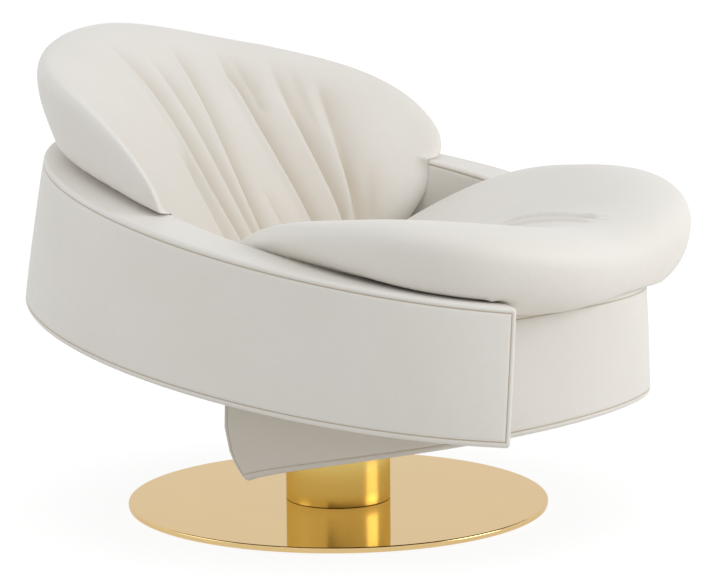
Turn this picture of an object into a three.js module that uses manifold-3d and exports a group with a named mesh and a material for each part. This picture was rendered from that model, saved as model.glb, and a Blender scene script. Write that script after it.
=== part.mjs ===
// Pedestal swivel armchair: an upholstered ribbon that wraps round a seat cushion and a pleated
// back cushion and tucks in behind its own end, carried by a tube on a round floor plate.
// Lengths are in millimetres. +Z is up, -Y is the front and +X is the sitter's left.
// The origin is on the floor, on the swivel axis. Angles round the chair start at the front.
import * as THREE from 'three';
import { mergeVertices } from 'three/addons/utils/BufferGeometryUtils.js';
import Module from 'manifold-3d';

const wasm = await Module();
wasm.setup();

// Clearances
const touch = 0.3; // between pieces that touch
const softTouch = 0.8; // between a cushion and what carries it
const nest = 3; // between the apron and the band that it slides into
const swing = 6; // between the turning frame and the fixed pedestal
const overrun = 8; // how far a cutter stands past what it cuts

// Floor base
const disc = { radius: 300, thickness: 8, edge: 2.4 };
const pad = { radius: 286, thickness: 3 };
const tube = { radius: 74.5, wall: 3 };
const footRing = { width: 26, thickness: 10 };
const footBolt = { radius: 4, headRadius: 8, headDepth: 4.5, count: 4 };
const bearingPlate = { thickness: 8, drop: 10 };
const housing = { radius: 29, wall: 5, length: 118, lip: 4 };
const bush = { wall: 5, length: 26, flangeWidth: 4, flangeThickness: 3 };
const thrust = { thickness: 3 };

// Turning frame under the tub
const spindle = { radius: 17, stub: 24, tail: 22 };
const spindleWasher = { radius: 26, thickness: 3 };
const spindleNut = { radius: 22, thickness: 12 };
const hub = { radius: 36, wall: 19, skirt: 9 };
const gusset = { thickness: 6, reach: 108, tip: 5 };
const plate = { side: 236, thickness: 6, corner: 24 };
const plateBolt = { radius: 5, headRadius: 9, headDepth: 5, inset: 26 };

// The ribbon's outer part, the band: a ruled wall between two tilted oval rims. It runs from the
// mouth, at the sitter's right, round the back to a sewn joint at the sitter's left.
const bandTop = { halfWidth: 439, halfDepth: 476, y: -61, z: 433, tiltDegrees: 11.3 };
const bandFoot = { halfWidth: 444, halfDepth: 502, y: -48, z: 239, tiltDegrees: 8.8 };
const band = { thickness: 82, mouthDegrees: 35, jointDegrees: 95, corner: 7 };

// Its inner part, the apron: from the joint it comes in to close the front, slides in behind the
// band's end, and drops as it runs back under the arm.
const apron = { thickness: 62, footFront: 184, footDrop: 71, topFront: 344, topDrop: 60, corner: 6 };
const apronEnd = { degrees: 90.3, leadDegrees: 5.4, curveFrom: 211, curveHeight: 98, coreInset: 30 };
const apronLeadPower = 2.5; // how late the ends curve forward, on their way down to the tips
const apronLeadFadePower = 6; // how fast that fades along the wall
const apronNose = { top: 15, foot: -4 }; // how far its front leans out of the arms' oval
const apronDropPower = 2;
const apronComesInDegrees = 30; // where it leaves the band's wall for good

// Bent plywood cores and the tilted floor board that joins them
const core = { thickness: 18, footInset: 12, topInset: 26, endInset: 24, apronCover: 22 };
const board = { rise: 12, thickness: 18, stepClearance: 9, trim: 3 }; // trimmed to the cores
const dustCover = { thickness: 1.5, mouthRadius: 178 };

// Seat deck
const rail = { thickness: 18, sideGap: 106, frontGap: 81, rear: -6 }; // gaps to the apron
const strap = { width: 44, thickness: 2, count: 5, endInset: 14 };

// Back support
const backPanel = { halfWidth: 150, low: -52, high: 148, thickness: 15 };
const backRib = { thickness: 18, spacing: 112, rearInset: 22 };

// Seat cushion: a saddle between the arms, with a full front roll
const seat = { halfWidth: 363, front: 268, rear: 390, y: -221, z: 362, crown: 68 };
const seatRise = { side: 74, front: 27 };
const seatUnder = { z: 305, side: 30, front: 20 };
const seatFrontPower = 2.2; // how square its outline is, front and rear
const seatRearPower = 4;
const seatCrownPower = 4.6;
const seatWallPower = 9;

// Back cushion: a leaning oval whose wings curve forward, pleated from its foot
const back = { halfWidth: 390, top: 345, foot: 173, rearGap: 119, z: 394, crown: 53, wing: 184 };
const backLeanDegrees = 36;
const backCrownPower = 2.4;
const backWingPower = 3.35;
const pleat = { depth: 7, count: 13 };
const pleatPoleShare = 0.72; // where the pleats start, down the foot half
const pleatFadeShares = [0.16, 0.42, 0.62, 0.86]; // along a pleat: start, full, full, end

// Facets
const discSteps = 72;
const roundSteps = 40;
const smallSteps = 20;
const hexSides = 6;
const bandSteps = 38;
const apronSteps = 24;
const cornerSteps = 2;
const wallSteps = 3;
const deckSteps = 8;
const raysPerPleat = 3;
const footRays = 15;
const crownRings = 8;
const underRings = 5;

const radians = THREE.MathUtils.degToRad;
const point = (x, y, z) => new THREE.Vector3(x, y, z);

// Colours and finishes
const finish = (color, roughness, metalness) =>
  new THREE.MeshStandardMaterial({ color, roughness, metalness });
const finishes = {
  leather: () => finish(0xe9e2d6, 0.55, 0),
  polishedGold: () => finish(0xe3b65a, 0.08, 1),
  satinGold: () => finish(0xd9a441, 0.3, 1),
  steel: () => finish(0x8c8f92, 0.45, 0.9),
  blackPaint: () => finish(0x26272a, 0.6, 0.3),
  plywood: () => finish(0xc9a878, 0.7, 0),
  webbing: () => finish(0x6b655c, 0.9, 0),
  cloth: () => finish(0x2c2b2a, 0.95, 0),
  bearing: () => finish(0xe6e2d4, 0.4, 0),
  felt: () => finish(0x1d1c1b, 0.95, 0),
};

// Turns a triangle list the right way out and drops the flat triangles that poles leave.
function closeBody(positions, triangles) {
  const kept = [];
  let volume = 0;
  const corner = (i) => point().fromArray(positions, 3 * i);
  for (let i = 0; i < triangles.length; i += 3) {
    const [a, b, c] = [triangles[i], triangles[i + 1], triangles[i + 2]];
    if (a === b || b === c || c === a) continue;
    kept.push(a, b, c);
    volume += corner(a).dot(corner(b).cross(corner(c)));
  }
  if (volume < 0) kept.reverse();
  return new wasm.Manifold(new wasm.Mesh({
    numProp: 3,
    vertProperties: new Float32Array(positions),
    triVerts: new Uint32Array(kept),
  }));
}

// A solid for joining and cutting, from any closed geometry.
function toSolid(geometry) {
  const bare = geometry.clone();
  bare.deleteAttribute('normal');
  bare.deleteAttribute('uv');
  const merged = mergeVertices(bare);
  return closeBody([...merged.attributes.position.array], [...merged.index.array]);
}

function toGeometry(solid) {
  const { vertProperties, triVerts } = solid.getMesh();
  const geometry = new THREE.BufferGeometry();
  geometry.setAttribute('position', new THREE.BufferAttribute(vertProperties, 3));
  geometry.setIndex(new THREE.BufferAttribute(triVerts, 1));
  geometry.computeVertexNormals();
  return geometry;
}

function cut(solid, ...tools) {
  return tools.reduce((left, tool) => left.subtract(tool), solid);
}

// Round and flat stock

// Revolves a closed outline of [radius, height] pairs about +Z.
function turned(outline, steps) {
  const points = [...outline, outline[0]].map(([radius, height]) => new THREE.Vector2(radius, height));
  return toSolid(new THREE.LatheGeometry(points, steps).rotateX(Math.PI / 2));
}

function tubeSolid(outer, inner, low, high, steps) {
  return turned([[inner, low], [outer, low], [outer, high], [inner, high]], steps);
}

function rod(radius, low, high, steps) {
  return turned([[0, low], [radius, low], [radius, high], [0, high]], steps);
}

// A board of even thickness standing up from the height low, from an outline in X and Y.
function flatStock(shape, low, thickness) {
  const geometry = new THREE.ExtrudeGeometry(shape, {
    depth: thickness, bevelEnabled: false, curveSegments: cornerSteps * 2,
  });
  return toSolid(geometry.translate(0, 0, low));
}

// An upright board across X, from an outline in Y and Z.
function uprightBoard(outline, x, thickness) {
  const shape = new THREE.Shape(outline.map(([y, z]) => new THREE.Vector2(y, z)));
  const geometry = new THREE.ExtrudeGeometry(shape, { depth: thickness, bevelEnabled: false });
  const turn = new THREE.Matrix4().makeBasis(point(0, 1, 0), point(0, 0, 1), point(1, 0, 0));
  return toSolid(geometry.applyMatrix4(turn).translate(x - thickness / 2, 0, 0));
}

// Lofts rings of points into a body with a cap at each end.
function loft(rings) {
  const count = rings[0].length;
  const positions = rings.flat().flatMap((p) => p.toArray());
  const triangles = [];
  for (let i = 0; i + 1 < rings.length; i++) {
    for (let j = 0; j < count; j++) {
      const next = (j + 1) % count;
      const [a, b, c, d] = [i * count + j, i * count + next, (i + 1) * count + j, (i + 1) * count + next];
      triangles.push(a, b, c, b, d, c);
    }
  }
  const last = (rings.length - 1) * count;
  for (let j = 1; j + 1 < count; j++) {
    triangles.push(0, j + 1, j, last, last + j, last + j + 1);
  }
  return closeBody(positions, triangles);
}

// A rounded rectangle as [inset, height] pairs.
function roundedSection(near, far, low, high, radius) {
  const centres = [
    [far - radius, high - radius, 0], [near + radius, high - radius, 1],
    [near + radius, low + radius, 2], [far - radius, low + radius, 3],
  ];
  return centres.flatMap(([x, z, quarter]) => Array.from({ length: cornerSteps + 1 }, (_, i) => {
    const angle = (quarter + i / cornerSteps) * Math.PI / 2;
    return [x + radius * Math.cos(angle), z + radius * Math.sin(angle)];
  }));
}

// The same with extra heights between its corners, where a wall curves on its way up.
function wallSection(near, far, low, high, radius) {
  const corners = roundedSection(near, far, low, high, radius);
  const perCorner = cornerSteps + 1;
  const heights = Array.from({ length: wallSteps }, (_, i) => (
    THREE.MathUtils.lerp(low + radius, high - radius, (i + 1) / (wallSteps + 1))));
  return [
    ...corners.slice(0, 2 * perCorner), ...heights.toReversed().map((z) => [near, z]),
    ...corners.slice(2 * perCorner), ...heights.map((z) => [far, z]),
  ];
}

// Walls of the two bands

function rimPoint(rim, angle) {
  const tilt = radians(rim.tiltDegrees);
  const reach = rim.halfDepth * Math.cos(angle);
  return point(
    rim.halfWidth * Math.sin(angle),
    rim.y - reach * Math.cos(tilt),
    rim.z - reach * Math.sin(tilt),
  );
}

function inwardAt(angle) {
  const halfWidth = bandTop.halfWidth + bandFoot.halfWidth;
  const halfDepth = bandTop.halfDepth + bandFoot.halfDepth;
  return point(-Math.sin(angle) / halfWidth, Math.cos(angle) / halfDepth, 0).normalize();
}

// A point of the band's wall: share 0 is on the foot rim and 1 on the top rim.
function wallPoint(angle, inset, share) {
  return rimPoint(bandFoot, angle).lerp(rimPoint(bandTop, angle), share)
    .addScaledVector(inwardAt(angle), inset);
}

const bandHeight = (angle) => rimPoint(bandTop, angle).distanceTo(rimPoint(bandFoot, angle));
const bandPoint = (angle, inset, up) => wallPoint(angle, inset, up / bandHeight(angle));

function wallShareAt(angle, z) {
  const low = rimPoint(bandFoot, angle).z;
  return (z - low) / (rimPoint(bandTop, angle).z - low);
}

// The angle that a distance along the wall spans, near the given angle.
function spanOf(angle, distance) {
  return distance / Math.hypot(bandFoot.halfWidth * Math.cos(angle), bandFoot.halfDepth * Math.sin(angle));
}

// The ribbon's ends and its joint
const mouth = radians(band.mouthDegrees);
const bandEnd = 2 * Math.PI - mouth;
const joint = radians(band.jointDegrees);
const apronReach = radians(apronEnd.degrees);
const apronInset = band.thickness + nest;

// How much of the band's wall the apron has become at an angle: all of it at the joint.
const joined = (angle) => THREE.MathUtils.smoothstep(angle, radians(apronComesInDegrees), joint);
const apronOuter = (angle) => THREE.MathUtils.lerp(apronInset, 0, joined(angle));
const apronDepth = (angle) => THREE.MathUtils.lerp(apron.thickness, band.thickness, joined(angle));

function apronDropShare(angle) {
  return Math.abs(Math.min(angle, radians(apronComesInDegrees)) / apronReach) ** apronDropPower;
}

const apronFoot = (angle) => THREE.MathUtils.lerp(
  apron.footFront - apron.footDrop * apronDropShare(angle), rimPoint(bandFoot, angle).z, joined(angle));
const apronTop = (angle) => THREE.MathUtils.lerp(
  apron.topFront - apron.topDrop * apronDropShare(angle), rimPoint(bandTop, angle).z, joined(angle));

// How far the apron's free end curves forward at a height, down to its tip.
function apronLead(angle, z) {
  const down = Math.max(0, (apronEnd.curveFrom - z) / apronEnd.curveHeight);
  const fade = Math.min(1, Math.max(0, -angle) / apronReach) ** apronLeadFadePower;
  return -radians(apronEnd.leadDegrees) * down ** apronLeadPower * fade;
}

// A point of the apron: across the front it leans out of the oval that it shares with the band.
function apronPoint(angle, inset, z) {
  const bulge = Math.cos(Math.min(1, Math.abs(angle) / mouth) * Math.PI / 2) ** 2;
  const up = (z - apron.footFront) / (apron.topFront - apron.footFront);
  const lean = bulge * THREE.MathUtils.lerp(apronNose.foot, apronNose.top, up);
  const place = angle - apronLead(angle, z);
  return wallPoint(place, inset - lean, wallShareAt(place, z));
}

// The tub's floor plane holds the band's foot rim.
const floorTilt = radians(bandFoot.tiltDegrees);
const floorZ = (y, level) => (
  bandFoot.z + (y - bandFoot.y) * Math.tan(floorTilt) + level / Math.cos(floorTilt));
const boardTop = board.rise + board.thickness;
const boardZ = (y) => floorZ(y, boardTop + touch);

// Where a wall crosses a level above the floor plane.
function atLevel(wall, angle, inset, level) {
  let place = wall(angle, inset, bandFoot.z);
  for (let i = 0; i < cornerSteps * 3; i++) place = wall(angle, inset, floorZ(place.y, level));
  return place;
}

const bandAtHeight = (angle, inset, z) => wallPoint(angle, inset, wallShareAt(angle, z));

// Angles from one end to the other, closer together where the ends are rounded.
function stations(from, to, count, rounding) {
  const ends = Array.from({ length: cornerSteps + 1 }, (_, i) => {
    const turn = (i / cornerSteps) * Math.PI / 2;
    return { distance: rounding * (1 - Math.cos(turn)), shrink: rounding * (1 - Math.sin(turn)) };
  });
  const first = from + spanOf(from, rounding);
  const last = to - spanOf(to, rounding);
  const middle = Array.from({ length: count - 1 }, (_, i) => (
    { angle: THREE.MathUtils.lerp(first, last, (i + 1) / count), shrink: 0 }));
  return [
    ...ends.map(({ distance, shrink }) => ({ angle: from + spanOf(from, distance), shrink })),
    ...middle,
    ...ends.toReversed().map(({ distance, shrink }) => ({ angle: to - spanOf(to, distance), shrink })),
  ];
}

// The full padded band, grown by the given clearance.
function bandBody(grow) {
  const from = joint - spanOf(joint, grow - touch / 2);
  const to = bandEnd + spanOf(mouth, grow);
  return loft(stations(from, to, bandSteps, band.corner + grow).map(({ angle, shrink }) => {
    const section = roundedSection(
      shrink - grow, band.thickness + grow - shrink,
      shrink - grow, bandHeight(angle) + grow - shrink, band.corner + grow);
    return section.map(([inset, up]) => bandPoint(angle, inset, up));
  }));
}

// The full padded apron, grown by the given clearance.
function apronBody(grow) {
  const from = -apronReach - spanOf(apronReach, grow);
  const to = joint + spanOf(joint, grow - touch / 2);
  return loft(stations(from, to, apronSteps, apron.corner + grow).map(({ angle, shrink }) => {
    const outer = apronOuter(angle);
    const section = wallSection(
      outer + shrink - grow, outer + apronDepth(angle) + grow - shrink,
      apronFoot(angle) + shrink - grow, apronTop(angle) + grow - shrink, apron.corner + grow);
    return section.map(([inset, z]) => apronPoint(angle, inset, z));
  }));
}

// A plain bar that follows a wall: corners gives its four [inset, height] pairs at an angle.
// It may run past both of its ends, and keeps the same facets between them.
function wallBar(from, to, count, wall, corners, past = 0) {
  const angles = Array.from({ length: count + 1 }, (_, i) => THREE.MathUtils.lerp(from, to, i / count));
  if (past > 0) angles.splice(0, angles.length, from - past, ...angles, to + past);
  return loft(angles.map((angle) => (
    corners(angle).map(([inset, height]) => wall(angle, inset, height)))));
}

const bandCoreInset = (band.thickness - core.thickness) / 2;
const apronCoreInset = (angle) => (
  apronOuter(angle) + THREE.MathUtils.lerp(core.apronCover, bandCoreInset, joined(angle)));

// The band's bent core; grown and with its foot lowered it is the slot that the core sits in.
function bandCoreBody(grow, foot) {
  const from = joint + spanOf(joint, core.endInset);
  const to = bandEnd - spanOf(mouth, core.endInset);
  return wallBar(from, to, bandSteps, bandPoint, (angle) => {
    const high = bandHeight(angle) - core.topInset + grow;
    return [
      [bandCoreInset - grow, foot], [bandCoreInset + core.thickness + grow, foot],
      [bandCoreInset + core.thickness + grow, high], [bandCoreInset - grow, high],
    ];
  }, spanOf(mouth, grow));
}

// A bar along the apron's core, between two heights that are worked out at each angle.
function apronBar(grow, side, lowAt, highAt) {
  const from = spanOf(apronReach, apronEnd.coreInset) - apronReach;
  const to = joint - spanOf(joint, core.endInset);
  return wallBar(from, to, apronSteps, apronPoint, (angle) => {
    const [near, far] = [apronCoreInset(angle) - side, apronCoreInset(angle) + core.thickness + side];
    const [low, high] = [lowAt(angle), highAt(angle)];
    return [[near, low], [far, low], [far, high], [near, high]];
  }, spanOf(apronReach, grow));
}

// The apron's core stands in a slot that opens downwards.
const apronSlot = (grow) => apronBar(grow, grow,
  (angle) => apronFoot(angle) - overrun, (angle) => apronTop(angle) - core.topInset + grow);

function apronCoreBody() {
  const below = apronBar(overrun, overrun,
    (angle) => apronFoot(angle) - overrun * 2, (angle) => apronFoot(angle) + core.footInset);
  return cut(apronSlot(0), below);
}

// The tilted floor board steps out behind the apron's free end, from the apron's core to the band's.
const boardStep = apronReach + spanOf(apronReach, board.stepClearance);
const boardAtApron = (angle) => apronCoreInset(angle) + core.thickness - board.trim;
const boardAtBand = bandCoreInset + core.thickness - board.trim;

function boardRing(level, apronSide) {
  const front = Array.from({ length: apronSteps + 1 }, (_, i) => {
    const angle = THREE.MathUtils.lerp(-boardStep, joint, i / apronSteps);
    return atLevel(apronPoint, angle, apronSide(angle), level);
  });
  const rear = Array.from({ length: apronSteps }, (_, i) => {
    const angle = THREE.MathUtils.lerp(joint, 2 * Math.PI - boardStep, (i + 1) / apronSteps);
    return atLevel(bandAtHeight, angle, boardAtBand, level);
  });
  return [...front, ...rear];
}

// A sheet between two levels whose outline is a ring round the swivel axis.
function sheetBetween(lowRing, highRing) {
  const count = lowRing.length;
  const middle = (ring) => ring.reduce((sum, p) => sum.add(p), point(0, 0, 0)).divideScalar(count);
  const positions = [...lowRing, ...highRing, middle(lowRing), middle(highRing)].flatMap((p) => p.toArray());
  const triangles = [];
  for (let i = 0; i < count; i++) {
    const next = (i + 1) % count;
    triangles.push(i, next, count + i, next, count + next, count + i);
    triangles.push(2 * count, next, i, 2 * count + 1, count + i, count + next);
  }
  return closeBody(positions, triangles);
}

// The frame of the tub's floor, for flat pieces that lie along it.
const floorFrame = new THREE.Matrix4().makeRotationX(floorTilt).setPosition(0, 0, floorZ(0, 0));
const onFloor = (solid) => toSolid(toGeometry(solid).applyMatrix4(floorFrame));

function boltPlaces() {
  const offset = plate.side / 2 - plateBolt.inset;
  return [[1, 1], [-1, 1], [-1, -1], [1, -1]].map(([x, y]) => [x * offset, y * offset]);
}

function boltHoles(radius, low, high) {
  return boltPlaces().map(([x, y]) => rod(radius, low, high, smallSteps).translate([x, y, 0]));
}

function floorBoard() {
  const body = sheetBetween(boardRing(board.rise, boardAtApron), boardRing(boardTop, boardAtApron));
  const holes = boltHoles(plateBolt.radius + touch, board.rise - overrun, boardTop + overrun);
  const cores = [bandCoreBody(touch, -overrun), apronSlot(touch)];
  return cut(body, ...cores, ...holes.map(onFloor));
}

// What the board takes out of the padding: a notch in the apron, and in the band all below it.
function boardNotches() {
  const apronWall = (a, inset, level) => atLevel(apronPoint, a, inset, level);
  const apronNotch = wallBar(-boardStep, joint, apronSteps, apronWall, (angle) => {
    const near = boardAtApron(angle) - touch;
    const far = apronOuter(angle) + apronDepth(angle) + overrun;
    return [
      [near, board.rise - touch], [far, board.rise - touch],
      [far, boardTop + touch], [near, boardTop + touch],
    ];
  });
  const bandFar = band.thickness + overrun;
  const bandNear = boardAtBand - touch;
  const from = joint - spanOf(joint, touch);
  const to = 2 * Math.PI - boardStep + spanOf(boardStep, touch);
  const bandNotch = wallBar(from, to, apronSteps, (a, inset, level) => (
    atLevel(bandAtHeight, a, inset, level)), () => [
    [bandNear, -overrun], [bandFar, -overrun], [bandFar, boardTop + touch], [bandNear, boardTop + touch],
  ]);
  return { apronNotch, bandNotch };
}

// Cushions

// A closed pad from a fan of rays: each face is a height over the outline's plane.
function fanPad(rays, pole, rings, place) {
  const positions = [];
  const triangles = [];
  const add = (p) => positions.push(...p.toArray()) / 3 - 1;
  const ringOf = (share, side) => rays.map((ray) => add(place(ray, share, side)));
  const top = Array.from({ length: rings.top }, (_, i) => (
    ringOf(Math.sin(((i + 1) / rings.top) * Math.PI / 2), 1)));
  const under = Array.from({ length: rings.under - 1 }, (_, i) => (
    ringOf(Math.sin(((i + 1) / rings.under) * Math.PI / 2), -1)));
  const join = (inner, outer) => rays.forEach((_, j) => {
    const next = (j + 1) % rays.length;
    triangles.push(inner[j], outer[j], inner[next], inner[next], outer[j], outer[next]);
  });
  const close = (centre, ring, flip) => rays.forEach((_, j) => {
    const next = (j + 1) % rays.length;
    triangles.push(centre, ...(flip ? [ring[next], ring[j]] : [ring[j], ring[next]]));
  });
  close(add(place(pole, 0, 1)), top[0], false);
  for (let i = 0; i + 1 < top.length; i++) join(top[i], top[i + 1]);
  const down = [top.at(-1), ...under.toReversed()];
  for (let i = 0; i + 1 < down.length; i++) join(down[i], down[i + 1]);
  close(add(place(pole, 0, -1)), down.at(-1), true);
  return closeBody(positions, triangles);
}

function ovalCorner(angle, power) {
  const [c, s] = [Math.cos(angle), Math.sin(angle)];
  const size = (Math.abs(c) ** power + Math.abs(s) ** power) ** (1 / power);
  return [c / size, s / size];
}

const dome = (radiusShare, power) => Math.sqrt(Math.max(0, 1 - radiusShare ** power));

// Height of the seat cushion's seam plane and of its underside.
const seatSeam = (x, y) => (
  seat.z + seatRise.side * (x / seat.halfWidth) ** 2 - seatRise.front * (y - seat.y) / seat.front);
const seatUnderZ = (x, y) => (
  seatUnder.z + seatUnder.side * (x / seat.halfWidth) ** 2 - seatUnder.front * (y - seat.y) / seat.front);

function seatBody(grow) {
  const count = roundSteps;
  const rays = Array.from({ length: count }, (_, i) => (
    ovalCorner((i / count) * 2 * Math.PI, 2 * i < count ? seatRearPower : seatFrontPower)));
  return fanPad(rays, [0, 0], { top: crownRings, under: underRings }, ([c, s], share, side) => {
    const x = (seat.halfWidth + grow) * c * share;
    const y = seat.y + ((s > 0 ? seat.rear : seat.front) + grow) * s * share;
    const seam = seatSeam(x, y);
    const crown = seam + (seat.crown + grow) * dome(share, seatCrownPower);
    const under = THREE.MathUtils.lerp(seam, seatUnderZ(x, y) - grow, dome(share, seatWallPower));
    return point(x, y, side > 0 ? crown : under);
  });
}

// Along and out of the back cushion's plane
const backLean = radians(backLeanDegrees);
const backUp = point(0, Math.sin(backLean), Math.cos(backLean));
const backOut = point(0, -Math.cos(backLean), Math.sin(backLean));
const backY = rimPoint(bandTop, Math.PI).y - band.thickness - back.rearGap;
const backPlace = (across, up, out) => point(across, backY, back.z)
  .addScaledVector(backUp, up).addScaledVector(backOut, out);

// The rays of the back cushion: three to a pleat over its upper arc, and plain ones round its foot.
function backRays() {
  const pleated = pleat.count * raysPerPleat;
  const side = Math.atan2(Math.sin(backLean), 1) / 2;
  const upper = Array.from({ length: pleated }, (_, i) => {
    const turn = THREE.MathUtils.lerp(-side, Math.PI + side, (i + 0.5) / pleated);
    return { turn, groove: i % raysPerPleat === 1 };
  });
  const lower = Array.from({ length: footRays }, (_, i) => {
    const turn = THREE.MathUtils.lerp(Math.PI + side, 2 * Math.PI - side, (i + 0.5) / footRays);
    return { turn, groove: false };
  });
  return [...upper, ...lower];
}

function pleatFade(share) {
  const [start, full, fullEnd, end] = pleatFadeShares;
  const { smoothstep } = THREE.MathUtils;
  return smoothstep(share, start, full) * (1 - smoothstep(share, fullEnd, end));
}

function backBody(grow) {
  const pole = -pleatPoleShare * back.foot;
  return fanPad(backRays(), null, { top: crownRings, under: underRings }, (ray, share, side) => {
    const turn = ray ? ray.turn : 0;
    const rise = Math.sin(turn);
    const reach = (way) => (way > 0 ? back.top : back.foot) + grow;
    const across = (back.halfWidth + grow) * Math.cos(turn) * share;
    const up = pole + (reach(rise) * rise - pole) * share;
    const radius = Math.hypot(across / (back.halfWidth + grow), up / reach(up));
    const crown = (back.crown + grow) * dome(Math.min(1, radius), backCrownPower);
    const groove = ray?.groove && side > 0 ? pleat.depth * pleatFade(share) : 0;
    const wing = back.wing * Math.abs(across / back.halfWidth) ** backWingPower;
    return backPlace(across, up, wing + side * crown - groove);
  });
}

// The whole chair
const chair = new THREE.Group();
const base = new THREE.Group();
const tub = new THREE.Group();
const tubFloor = new THREE.Group();
tubFloor.applyMatrix4(floorFrame);
chair.add(base, tub);
tub.add(tubFloor);

function addPiece(group, name, solid, material) {
  const mesh = new THREE.Mesh(toGeometry(solid), material());
  mesh.name = name;
  group.add(mesh);
  return mesh;
}

// Heights up the swivel axis
const discLow = pad.thickness;
const discTop = discLow + disc.thickness;
const tubeLow = discTop + touch;
const hubTopFront = floorZ(-tube.radius, board.rise - plate.thickness - touch * 2);
const tubeTop = hubTopFront - gusset.tip - swing * 2;
const plateLevel = board.rise - touch - plate.thickness;
const bearingTop = tubeTop - bearingPlate.drop;
const housingTop = bearingTop + housing.lip;
const housingLow = housingTop - housing.length;
const housingBore = housing.radius - housing.wall;
const bushBore = spindle.radius + touch;
const hubLow = housingTop + bush.flangeThickness + thrust.thickness + touch * 3;
const spindleLow = housingLow - spindle.tail;

function addBase() {
  const { polishedGold, satinGold, steel, bearing, felt } = finishes;
  addPiece(base, 'base_pad', rod(pad.radius, 0, pad.thickness - touch, roundSteps), felt);
  const boltCircle = tube.radius - tube.wall - touch - footRing.width / 2;
  const boltTurns = Array.from({ length: footBolt.count }, (_, i) => (
    (i + 0.5) / footBolt.count * 2 * Math.PI));
  const atBolt = (solid, turn) => (
    solid.translate([boltCircle * Math.cos(turn), boltCircle * Math.sin(turn), 0]));
  const boltTop = discTop + touch + footRing.thickness;
  const boltOutline = (grow, low, high) => [
    [0, low], [footBolt.headRadius + grow, low], [footBolt.headRadius + grow, discLow + touch + grow],
    [footBolt.radius + grow, discLow + footBolt.headDepth + grow], [footBolt.radius + grow, high], [0, high],
  ];
  const holes = boltTurns.map((turn) => (
    atBolt(turned(boltOutline(touch, discLow - touch, boltTop + overrun), smallSteps), turn)));
  const plateOutline = [
    [0, discLow], [disc.radius - disc.edge, discLow], [disc.radius, discLow + disc.edge],
    [disc.radius, discTop - disc.edge], [disc.radius - disc.edge, discTop], [0, discTop],
  ];
  addPiece(base, 'base_disc', cut(turned(plateOutline, discSteps), ...holes), polishedGold);
  const inside = tube.radius - tube.wall - touch;
  const ring = tubeSolid(inside, inside - footRing.width, tubeLow, boltTop, roundSteps);
  addPiece(base, 'foot_ring', cut(ring, ...holes), steel);
  boltTurns.forEach((turn, i) => {
    const bolt = turned(boltOutline(0, discLow + touch, boltTop), smallSteps);
    addPiece(base, `foot_bolt_${i + 1}`, atBolt(bolt, turn), steel);
  });
  const tubeBody = tubeSolid(tube.radius, inside + touch, tubeLow, tubeTop, roundSteps);
  addPiece(base, 'pedestal_tube', tubeBody, satinGold);
  const bearingLow = bearingTop - bearingPlate.thickness;
  const seatRing = tubeSolid(inside, housing.radius + touch, bearingLow, bearingTop, roundSteps);
  addPiece(base, 'bearing_plate', seatRing, steel);
  const lipped = turned([
    [housingBore, housingLow], [housing.radius, housingLow], [housing.radius, bearingTop + touch],
    [housing.radius + housing.lip, bearingTop + touch], [housing.radius + housing.lip, housingTop],
    [housingBore, housingTop],
  ], roundSteps);
  addPiece(base, 'bearing_housing', lipped, steel);
  const bushOuter = housingBore - touch;
  const bushRadius = bushOuter + bush.flangeWidth;
  const flanged = (seatZ, way) => turned([
    [bushBore, seatZ - way * bush.length], [bushOuter, seatZ - way * bush.length],
    [bushOuter, seatZ + way * touch], [bushRadius, seatZ + way * touch],
    [bushRadius, seatZ + way * bush.flangeThickness], [bushBore, seatZ + way * bush.flangeThickness],
  ], smallSteps);
  addPiece(base, 'upper_bush', flanged(housingTop, 1), bearing);
  addPiece(base, 'lower_bush', flanged(housingLow, -1), bearing);
  const washerLow = housingTop + bush.flangeThickness + touch;
  const washer = tubeSolid(bushRadius, bushBore, washerLow, washerLow + thrust.thickness, smallSteps);
  addPiece(base, 'thrust_washer', washer, bearing);
}

// Everything under the plate and above the given height, as a cutter for welded pieces.
function belowPlate() {
  const reach = plate.side * 2;
  const block = new THREE.BoxGeometry(reach, reach, reach).translate(0, 0, plateLevel - touch - reach / 2);
  return onFloor(toSolid(block));
}

function swivelHub() {
  const high = floorZ(plate.side / 2, board.rise);
  const bore = spindle.radius + touch;
  const boss = turned([
    [bore, hubLow], [hub.radius - hub.skirt, hubLow], [hub.radius, hubLow + hub.skirt],
    [hub.radius, high], [bore, high],
  ], roundSteps);
  const low = tubeTop + swing;
  const rib = new THREE.Shape([
    [hub.radius - hub.wall / 2, low], [tube.radius, low], [gusset.reach, low + gusset.tip * 2],
    [gusset.reach, high], [hub.radius - hub.wall / 2, high],
  ].map(([x, z]) => new THREE.Vector2(x, z)));
  const ribs = [0, 1, 2, 3].map((quarter) => {
    const geometry = new THREE.ExtrudeGeometry(rib, { depth: gusset.thickness, bevelEnabled: false });
    geometry.translate(0, 0, -gusset.thickness / 2).rotateX(Math.PI / 2).rotateZ(quarter * Math.PI / 2);
    return toSolid(geometry);
  });
  return ribs.reduce((sum, solid) => sum.add(solid), boss).intersect(belowPlate());
}

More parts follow.
